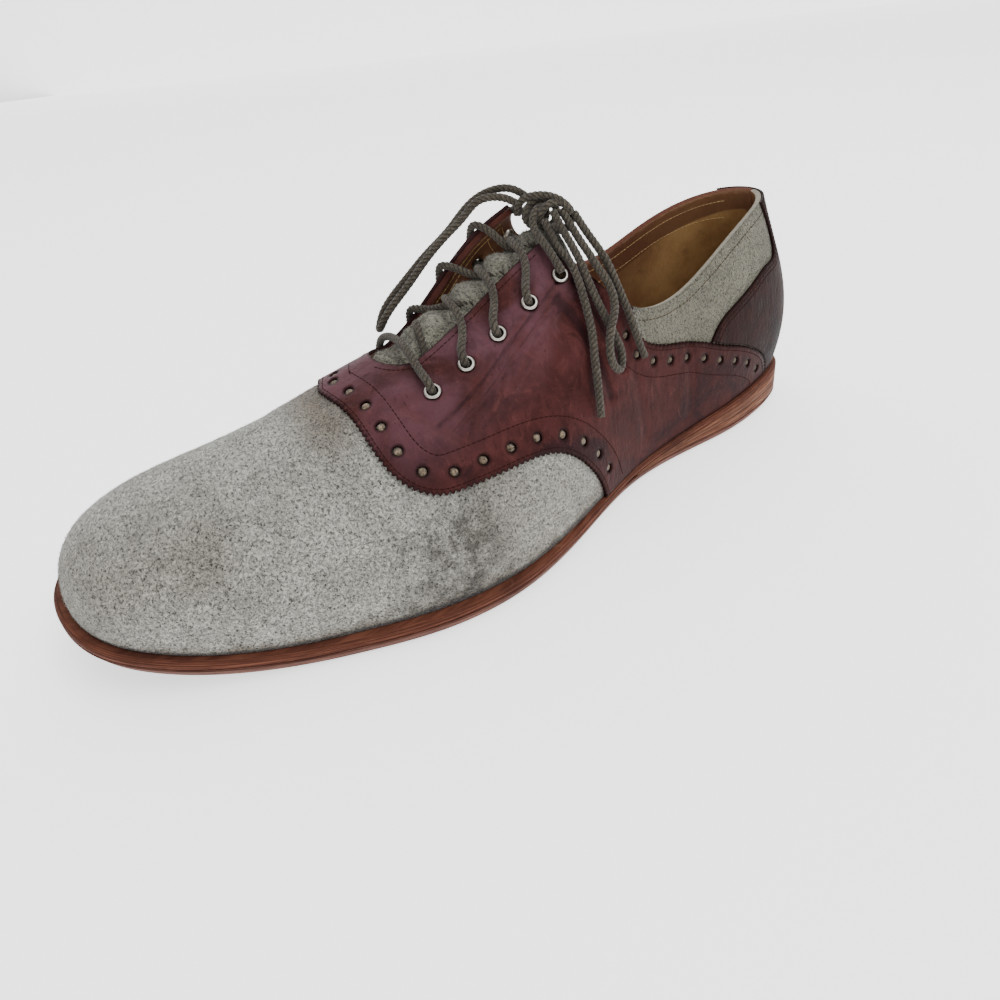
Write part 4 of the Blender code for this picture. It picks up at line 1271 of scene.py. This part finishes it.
def soleMaterial(name, low, high, deep, lines):
    made = Finish(name)
    place, form = made.place(), made.form()
    level = made.parts(form)[1]
    fibre = made.noise(made.stretch(form, (55.0, 11.0, 1.0)), 1.0, 4.0, 0.7, 0.2)
    stripes = made.noise(made.stretch(form, (9.0, 7.0, 1.0)), 1.0, 3.0, 0.6)
    blotch = made.noise(place, 45.0, 5.0, 0.6)
    scuff = made.noise(made.stretch(place, (0.4, 0.4, 1.0)), 180.0, 6.0, 0.75, 1.0)
    seam = (level - lines).math("ABSOLUTE")
    colour = made.coats(
        made.mix(fibre.step(0.36, 0.66), low, high),
        (blotch.step(0.42, 0.72) * 0.5, deep),
        (scuff.step(0.60, 0.78) * 0.40, srgb(140, 104, 84)),
        (stripes.step(0.46, 0.66) * 0.5, deep),
        ((1.0 - seam.step(0.0, 0.05)) * 0.7, deep),
        ((1.0 - level.step(0.0, 0.22)) * 0.6, deep),
    )
    normal = made.bump(fibre * 0.5 + stripes, 0.55, 0.0005)
    normal = made.bump(seam.step(0.0, 0.04), 0.6, 0.0005, normal)
    return made.surface(colour, 0.50 + scuff * 0.25, normal, Specular_IOR_Level=0.05)


def profile(base, high, rows):
    # A layer's levels from its rows, over the height that base gives.
    return [(inset, lambda s, a=share, b=step: base(s) + high * a + b) for inset, share, step in rows]


def makeSoles():
    gap, outHigh = last["fitGap"], last["outsoleThickness"]
    edge = soleMaterial("soleEdge", srgb(78, 48, 41), srgb(120, 82, 69), srgb(42, 26, 23), 0.72)
    levels = profile(ground, outHigh, sole["outsole"])
    solePiece("outsole_leather", levels, edge, "outsole_leather", "outsole")

    edge = soleMaterial("weltEdge", srgb(72, 40, 32), srgb(112, 70, 54), srgb(36, 20, 17), 0.45)
    levels = profile(midsoleBottom, last["midsoleThickness"], sole["midsole"])
    solePiece("welt_leather", levels, edge, "welt_leather", "midsole")

    # The heel's layers fill the wedge between the outsole and the midsole, as far as it goes.
    stations, thinnest = np.linspace(0, 1, 2001), 0.0006
    end = stations[wedge(stations) > gap + thinnest].max()
    edge = soleMaterial("heelEdge", srgb(92, 58, 45), srgb(134, 92, 72), srgb(48, 29, 24), 0.5)
    levels = [
        (inset, lambda s, a=share: ground(s) + outHigh + gap + a * (wedge(s) - gap))
        for inset, share in sole["heel"]
    ]
    solePiece("heel_leather", levels, edge, "heel_leather", "heel_stack", end)


def makeInsole():
    # The insole keeps its solid and takes a finish.
    made = Finish("insoleLeather")
    place = made.place()
    worn = made.noise(place, 30.0, 6.0, 0.65, 0.5)
    grain = made.noise(place, 500.0, 4.0, 0.6)
    colour = made.mix(worn.step(0.35, 0.7), srgb(150, 112, 70), srgb(98, 70, 44))
    material = made.surface(colour, 0.65, made.bump(grain + worn, 0.3, 0.0005))
    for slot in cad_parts["insole"].material_slots:
        slot.material = material


# The tongue
tongue = {
    "ahead": 0.0110,
    "above": 0.0100,
    "half": 0.37,
    "clearance": 0.0006,
    "raised": 0.0020,
    "pillow": 0.0034,
    "pillowRun": 0.0040,
    "pillows": ((0.1840, 0.6), (0.1697, 0.7), (0.1627, 0.9), (0.1487, 1.0), (0.1347, 1.0), (0.1215, 0.7)),
    "ripple": 0.0004,
    "rippleWays": (1400.0, 40.0),
    "skin": 0.0006,
    "spacing": 0.0015,
    "fibres": 9000,
    "napHalf": 0.2,
}


def tonguePoints(turn, rise, offset):
    # Between the lacing's crossings the tongue swells up in the open throat.
    turn, rise = np.broadcast_arrays(np.asarray(turn, float), np.asarray(rise, float))
    x = last["length"] * stationOf(turn)
    across = np.abs(plainPoints(turn, rise, 0.0)[..., 1] - shift[1] - ridgeLine(x))
    within = ease(1.3 - across / np.maximum(throatHalfWidth(x), 0.004))
    swell = sum(share * np.exp(-(((x - at) / tongue["pillowRun"]) ** 2)) for at, share in tongue["pillows"])
    along, around = tongue["rippleWays"]
    ripple = tongue["ripple"] * np.sin(x * along + rise * around)
    bulge = within * (tongue["raised"] + tongue["pillow"] * swell + ripple)
    return plainPoints(turn, rise, offset + bulge)


def makeTongue():
    throatEnd = throatTop() + last["throatLength"]
    back = float(turnOf((throatTop() - tongue["above"]) / last["length"]))
    front = float(turnOf((throatEnd + tongue["ahead"]) / last["length"]))
    half, spacing = tongue["half"], tongue["spacing"]
    corners = [(back, -half), (front, -half), (front, half), (back, half)]
    outline = np.concatenate([evenly([corners[k - 4], corners[k - 3]], spacing)[:-1] for k in range(4)])
    under = -(last["upperWall"] + tongue["clearance"])
    low, high = under - last["tongueWall"], under - tongue["skin"]
    flap = panel("tongue_suede", [outline], [], spacing, low, high, tonguePoints)
    nap = suedeMaterial("tongueNap", srgb(196, 193, 182))
    paint(flap, nap, nap, nap)
    chance, count, wide = np.random.default_rng(5), tongue["fibres"], tongue["napHalf"]
    spread = np.column_stack([chance.uniform(back, front, count), chance.uniform(-wide, wide, count)])
    fibresFrom("tongue_nap", spread, tonguePoints, high, 9, nap)
    finished(flap, "tongue_suede", "tongue")


# The laces: a twisted cord, its strands winding round a path.
lace = {
    "width": 0.0030,
    "strands": 4,
    "lobe": 0.15,
    "groove": 1.6,
    "roundness": 0.75,
    "twist": 0.0076,
    "pitch": 0.00036,
    "sides": 20,
    "tip": 0.86,
    "waxed": 0.016,
}


def laceMaterial():
    made = Finish("laceCord")
    place, form = made.place(), made.form()
    around = made.parts(form)[1]
    groove = (around * (2 * math.pi)).math("SINE") * 0.5 + 0.5
    fibre = made.noise(made.stretch(form, (900.0, 6.0, 1.0)), 1.0, 4.0, 0.7, 0.4)
    fuzz = made.noise(place, 1600.0, 3.0, 0.7)
    dirt = made.noise(place, 90.0, 5.0, 0.65)
    colour = made.coats(
        made.mix(fuzz.step(0.30, 0.70), srgb(40, 37, 32), srgb(88, 81, 70)),
        (dirt.step(0.50, 0.72) * 0.5, srgb(48, 42, 35)),
        ((1.0 - groove.step(0.0, 0.45)) * 0.75, srgb(22, 19, 16)),
    )
    normal = made.bump(fibre * 0.5 + fuzz, 0.6, 0.00035)
    return made.surface(colour, 0.9, normal, Sheen_Weight=0.12, Specular_IOR_Level=0.2)


def smoothPath(points, pitch):
    # A smooth path through the points, read at even distances.
    points = np.asarray(points, float)
    run = runOf(points)
    path = smoothLine(np.linspace(0, run[-1], 40 * len(points)), run, points)
    real = runOf(path)
    return readAt(np.linspace(0, real[-1], max(4, int(round(real[-1] / pitch))) + 1), real, path)


def rope(name, points, endTaper=0.0, phase=0.0):
    # The cord's cross-section has one lobe for each strand, and turns as it goes along. A
    # waxed end loses its lobes and some width.
    path = smoothPath(points, lace["pitch"])
    along = unit(np.gradient(path, axis=0))
    run = runOf(path)
    across = np.cross(along[0], (0.0, 0.3, 1.0))
    sides, strands, tip = lace["sides"], lace["strands"], lace["tip"]
    angles = np.linspace(0, 2 * math.pi, sides, endpoint=False)
    vertices, uvs = [], []
    fade = ease((run[-1] - run) / endTaper) if endTaper else np.ones(len(run))
    for place, forward, at, full in zip(path, along, run, fade):
        across = unit(across - forward * (across @ forward))
        up = np.cross(forward, across)
        twisted = angles - (2 * math.pi * at / lace["twist"] + phase)
        lobes = np.abs(np.cos(strands / 2 * twisted)) ** lace["roundness"]
        radius = lace["width"] / 2 * (1 - lace["groove"] * lace["lobe"] * (1 - lobes) * full)
        radius = radius * (tip + (1 - tip) * full)
        spokes = np.cos(angles)[:, None] * across + np.sin(angles)[:, None] * up
        vertices.append(place + radius[:, None] * spokes)
        uvs.append(np.column_stack([np.full(sides, at), twisted * strands / (2 * math.pi) - 0.25]))
    faces = tubeFaces(0, len(path), sides)
    obj = meshFrom(name, np.concatenate(vertices), faces, np.concatenate(uvs))
    paint(obj, laceFinish)
    return obj, path


def layRope(name, node, points, phase=0.0):
    # A fixed stretch of the lace.
    piece, _ = rope(name, points, phase=phase)
    finished(piece, "lace_cord", node)


laceFinish = laceMaterial()

# The free parts, in metres from the heel's back, as the solids' routes have them.
tieRoute = (
    (0.1209, -0.0236, 0.0972), (0.1198, -0.0236, 0.1006), (0.1180, -0.0212, 0.1034),
    (0.1158, -0.0158, 0.1042), (0.1138, -0.0104, 0.1043), (0.1131, -0.0066, 0.1050),
    (0.1142, -0.0056, 0.1073), (0.1168, -0.0050, 0.1079), (0.1192, -0.0044, 0.1064),
    (0.1199, -0.0038, 0.1038), (0.1186, -0.0032, 0.1016), (0.1160, -0.0026, 0.1012),
    (0.1138, -0.0020, 0.1026), (0.1131, -0.0014, 0.1052), (0.1146, -0.0008, 0.1076),
    (0.1172, -0.0002, 0.1078), (0.1196, 0.0006, 0.1060), (0.1213, 0.0026, 0.1030),
    (0.1220, 0.0060, 0.1008), (0.1220, 0.0113, 0.0976), (0.1218, 0.0160, 0.0938),
    (0.1215, 0.0195, 0.0904),
)
innerLoopRoute = (
    (0.1185, -0.0098, 0.1074), (0.1225, -0.0126, 0.1104), (0.1275, -0.0140, 0.1118),
    (0.1333, -0.0152, 0.1112), (0.1389, -0.0166, 0.1066), (0.1446, -0.0174, 0.1024),
    (0.1549, -0.0191, 0.0940), (0.1626, -0.0204, 0.0862), (0.1693, -0.0213, 0.0800),
    (0.1742, -0.0223, 0.0742), (0.1757, -0.0242, 0.0709), (0.1740, -0.0262, 0.0732),
    (0.1698, -0.0262, 0.0792), (0.1610, -0.0256, 0.0868), (0.1532, -0.0252, 0.0930),
    (0.1412, -0.0238, 0.1018), (0.1370, -0.0234, 0.1056), (0.1320, -0.0221, 0.1098),
    (0.1249, -0.0190, 0.1130), (0.1190, -0.0148, 0.1130), (0.1146, -0.0108, 0.1096),
)
outerLoopRoute = (
    (0.1140, 0.0047, 0.1070), (0.1142, 0.0095, 0.1024), (0.1140, 0.0140, 0.0980),
    (0.1137, 0.0190, 0.0925), (0.1136, 0.0238, 0.0858), (0.1128, 0.0274, 0.0794),
    (0.1112, 0.0304, 0.0728), (0.1091, 0.0331, 0.0657), (0.1083, 0.0350, 0.0592),
    (0.1106, 0.0368, 0.0556), (0.1139, 0.0374, 0.0586), (0.1149, 0.0368, 0.0648),
    (0.1136, 0.0356, 0.0706), (0.1106, 0.0338, 0.0752), (0.1080, 0.0308, 0.0786),
    (0.1073, 0.0272, 0.0836), (0.1083, 0.0230, 0.0888), (0.1096, 0.0188, 0.0940),
    (0.1104, 0.0142, 0.0986), (0.1105, 0.0095, 0.1028), (0.1105, 0.0047, 0.1066),
)
frontEndRoute = (
    (0.1178, 0.0046, 0.1046), (0.1181, 0.0083, 0.1006), (0.1183, 0.0124, 0.0968),
    (0.1171, 0.0176, 0.0926), (0.1171, 0.0232, 0.0860), (0.1178, 0.0282, 0.0774),
    (0.1188, 0.0321, 0.0700), (0.1204, 0.0351, 0.0640), (0.1221, 0.0387, 0.0556),
    (0.1241, 0.0430, 0.0437),
)
backEndRoute = (
    (0.1069, 0.0074, 0.1054), (0.1067, 0.0110, 0.1022), (0.1060, 0.0146, 0.0985),
    (0.1050, 0.0182, 0.0946), (0.1037, 0.0217, 0.0896), (0.1027, 0.0251, 0.0830),
    (0.1016, 0.0281, 0.0764), (0.1002, 0.0303, 0.0698), (0.0989, 0.0322, 0.0627),
    (0.0965, 0.0336, 0.0548),
)


# The knot's own turns, as a coil that drifts across the tongue, and the stretch over them.
bow = {
    "turns": 2.6,
    "phase": 2.2,
    "points": 34,
    "wrapStart": (0.1152, -0.0102, 0.1054),
    "wrapDrift": (-0.0040, 0.0186, -0.0006),
    "wrapRadii": (0.0052, 0.0046),
    "over": (
        (0.1206, -0.0092, 0.1046), (0.1198, -0.0080, 0.1092), (0.1164, -0.0040, 0.1116),
        (0.1124, 0.0010, 0.1114), (0.1094, 0.0052, 0.1088), (0.1084, 0.0072, 0.1050),
    ),
}


def declare(name, route, node, taper=0.0):
    points = np.array(route) + shift
    cord, path = rope(name, points, taper)
    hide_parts(node)
    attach(cord, "root")


def overFacing(x, side, fromEdge, height):
    # A place that far down from the throat's edge; at the edge itself it leans upward.
    turn, rise = facingPlace(x, side, fromEdge)
    direction = lastNormals(turn, rise)
    if fromEdge < 0.001:
        direction = direction + (0.0, 0.0, 0.5)
    return lastPoints(turn, rise) + shift + height * unit(direction)


def onTongue(x):
    return plainPoints(float(turnOf(x / last["length"])), 1e-6, 0.0)


# How the lace goes through an eyelet and over the facing, and where the strands cross. The
# strand under the leather has its way back, its distance from the edge and its height.
lacing = {
    "below": 0.0046,
    "mouth": 0.0004,
    "pastRim": 0.0024,
    "clear": 0.0002,
    "crossing": 0.0026,
    "dive": (0.0060, 0.0040),
    "lean": 0.45,
    "sag": (0.5, 0.5, 0.35),
    "reach": 0.7,
    "dip": 0.0010,
    "underStart": 0.0050,
    "underRoute": ((0.0030, 0.0040, -0.0036), (0.0046, 0.0, -0.0022)),
    "underTongue": (0.0085, 0.0024),
    "underEnd": (0.0075, 0.0045),
}


def throughEyelet(number, side, way, lean=0.0):
    # The points that carry the lace out of an eyelet, over its rim and up to the edge.
    _, _, place, normal = eyeletPlaces[2 * number + (side < 0)]
    x = float(place[0] - shift[0])
    over = 2 * last["fitGap"] + last["saddleWall"] + eyelets["flange"] + lace["width"] / 2
    low = last["fitGap"] + last["saddleWall"] + lace["width"] / 2 + lacing["clear"]
    points = [
        place - normal * lacing["below"],
        place + normal * lacing["mouth"],
        overFacing(x, side, eyelets["setback"] - lacing["pastRim"], over),
        overFacing(x - lean / 2, side, eyelets["setback"] * 0.5, low),
        overFacing(x - lean, side, 0.0, low),
    ]
    return points if way > 0 else points[::-1]


def makeLacing():
    up = np.array((0.0, 0.0, 1.0))
    xs = [float(place[2][0] - shift[0]) for place in eyeletPlaces[::2]]
    middle = onTongue(xs[0]) + up * lacing["crossing"]
    bar = [*throughEyelet(0, -1, 1), middle, *throughEyelet(0, 1, -1)]
    layRope("lace_front_bar", "lace_bar", bar)
    # From the bar's outer end the lace runs back under the leather to the next inner eyelet.
    (_, _, start, startUp), (_, _, end, endUp) = eyeletPlaces[0], eyeletPlaces[3]
    back, height = lacing["underTongue"]
    under = [
        start - startUp * lacing["underStart"],
        *(overFacing(xs[0] - away, 1, inset, high) for away, inset, high in lacing["underRoute"]),
        onTongue(xs[0] - back) + up * height,
        *(end - endUp * deep for deep in lacing["underEnd"]),
    ]
    layRope("lace_under", "lace_bar", under, 0.4)
    # From each pair on, the outer strand dives under the next inner eyelet, and the inner
    # strand goes below it towards the outer facing.
    for number in range(1, eyelets["count"] - 1):
        here, there = xs[number], xs[number + 1]
        crossing = onTongue((here + there) / 2)
        _, _, far, inward = eyeletPlaces[2 * number + 3]
        outer = [
            *throughEyelet(number, 1, 1, (here - there) * lacing["lean"]),
            crossing + up * lacing["crossing"],
            *(far - inward * deep for deep in lacing["dive"]),
        ]
        edge = overFacing(here, -1, 0.0, last["fitGap"] + last["saddleWall"] + lace["width"] / 2)
        turn, rise = facingPlace(there, 1, 0.0)
        gapEnd = onTongue(there) + (lastPoints(turn, rise) + shift - onTongue(there)) * lacing["reach"]
        inner = [
            *throughEyelet(number, -1, 1),
            edge + (crossing - edge) * lacing["sag"],
            crossing - up * lacing["clear"],
            gapEnd - up * lacing["dip"],
        ]
        layRope(f"lace_strand_outer_{number + 1}", f"lace_cross_{number + 1}", outer)
        layRope(f"lace_strand_inner_{number + 1}", f"lace_cross_{number + 1}", inner, 1.0)
    # The bow's knot: the lace wraps its own loops and crosses over them.
    turns = np.linspace(0.0, bow["turns"] * 2 * math.pi, bow["points"])
    (x, y, z), (long, high) = bow["wrapStart"], bow["wrapRadii"]
    dx, dy, dz = np.multiply.outer(bow["wrapDrift"], turns / turns[-1])
    wrap = np.column_stack([
        x + dx + long * np.cos(turns + bow["phase"]),
        y + dy,
        z + dz + high * np.sin(turns + bow["phase"]),
    ])
    layRope("bow_wrap", "lace_knot", wrap + shift)
    layRope("bow_over", "lace_knot", np.array(bow["over"]) + shift, 0.7)
    declare("lace_tie", tieRoute, "lace_knot")
    declare("bow_loop_inner", innerLoopRoute, "lace_loop_inner")
    declare("bow_loop_outer", outerLoopRoute, "lace_loop_outer")
    declare("bow_end_front", frontEndRoute, "lace_end_front", lace["waxed"])
    declare("bow_end_back", backEndRoute, "lace_end_back", lace["waxed"])


# Stitches: one small bead of thread each, laid along a flat line. The profile of a bead is
# (place along it, share of its radius), and the insets are from each piece's edge.
thread = {
    "pitch": 0.0018,
    "length": 0.0016,
    "radius": 0.00017,
    "bead": ((-1.0, 0.25), (-0.8, 0.8), (-0.3, 1.0), (0.3, 1.0), (0.8, 0.8), (1.0, 0.25)),
    "sides": 6,
    "wing": 0.0022,
    "counter": (0.0018, 0.0036),
    "throat": 0.0026,
    "collar": 0.0045,
    "collarFront": 0.372,
    "liningThroat": (0.0030, 0.0058),
    "liningCollar": (0.0045, 0.0115),
}


def stitchRow(line, height):
    # The place, way and normal of each stitch of a row.
    line = evenly(line, thread["pitch"])
    places = shellPoints(line[:, 0], line[:, 1], np.full(len(line), height))
    forward = unit(np.gradient(places, axis=0))
    return list(zip(places, forward, lastNormals(line[:, 0], line[:, 1])))


def makeStitches(name, rows, material, slotName):
    sides, bead = thread["sides"], thread["bead"]
    angles = [2 * math.pi * k / sides for k in range(sides)]
    points, faces = [], []
    for place, forward, normal in [stitch for row in rows for stitch in row]:
        across = np.cross(normal, forward)
        spokes = [math.cos(angle) * across + math.sin(angle) * normal for angle in angles]
        faces += tubeFaces(len(points), len(bead), sides)
        for share, wide in bead:
            middle = place + forward * share * thread["length"] / 2
            points += [middle + spoke * thread["radius"] * wide for spoke in spokes]
    obj = meshFrom(name, points, faces)
    paint(obj, material)
    finished(obj, slotName)


def insideUpper(line):
    # The longest stretch of a flat line that lies on the leather.
    inside = insideOf(upperOutline, line)
    runs, start = [], None
    for i, ok in enumerate(np.append(inside, False)):
        if ok and start is None:
            start = i
        if not ok and start is not None:
            runs.append((i - start, start, i))
            start = None
    _, start, end = max(runs)
    return line[start:end]


def makeThreads():
    fine = 0.001
    top, counterTop = last["fitGap"] + last["saddleWall"], last["fitGap"] + last["counterWall"]
    inside = -last["upperWall"] - 0.00002
    front = evenly(frontEdge, fine)
    rows = [stitchRow(beside(front, leather[row]), top) for row in ("outerRow", "innerRow")]
    collar, lining = [], []
    for side in (1, -1):
        wing, slant = evenly(wingEdge[side], fine), evenly(counterEdge[side], fine)
        for inset in (thread["wing"], leather["innerRow"]):
            rows.append(stitchRow(insideUpper(beside(wing, -side * inset)), top))
        for inset in thread["counter"]:
            rows.append(stitchRow(insideUpper(beside(slant, -side * inset)), counterTop))
        throat = evenly(throats[side], fine)
        rows.append(stitchRow(beside(throat, side * thread["throat"])[4:-6], top))
        topline = evenly(toplines[side], fine)
        behind = topline[topline[:, 0] < thread["collarFront"]]
        collar.append(stitchRow(beside(behind, side * thread["collar"])[14:], 0.00005))
        for inset in thread["liningCollar"]:
            lining.append(stitchRow(beside(topline, side * inset)[14:-8], inside))
    for inset in thread["liningThroat"]:
        lining.append(stitchRow(beside(throat, -inset)[6:-10], inside))
    for name, sewn, tone, rough, shine, slotName in (
        ("leather", rows, srgb(38, 17, 14), 0.9, 0.05, "saddle_leather"),
        ("collar", collar, srgb(60, 46, 34), 0.9, 0.05, "grey_suede"),
        ("lining", lining, srgb(176, 146, 98), 0.7, 0.5, "insole_leather"),
    ):
        finish = Finish("thread" + name.capitalize()).surface(tone, rough, Specular_IOR_Level=shine)
        makeStitches("stitches_" + name, sewn, finish, slotName)


makeCamera()
makeStage()
print("camera and stage ready")
makeLacing()
print("laces laid")
makeUpper()
makeTongue()
makeNap()
print("suede lasted")
makeSaddle()
makeHoleBacking()
makeCounter()
print("leather lasted")
makeEyelets()
makeSoles()
makeInsole()
print("soles and eyelets made")
makeThreads()
print("stitched")
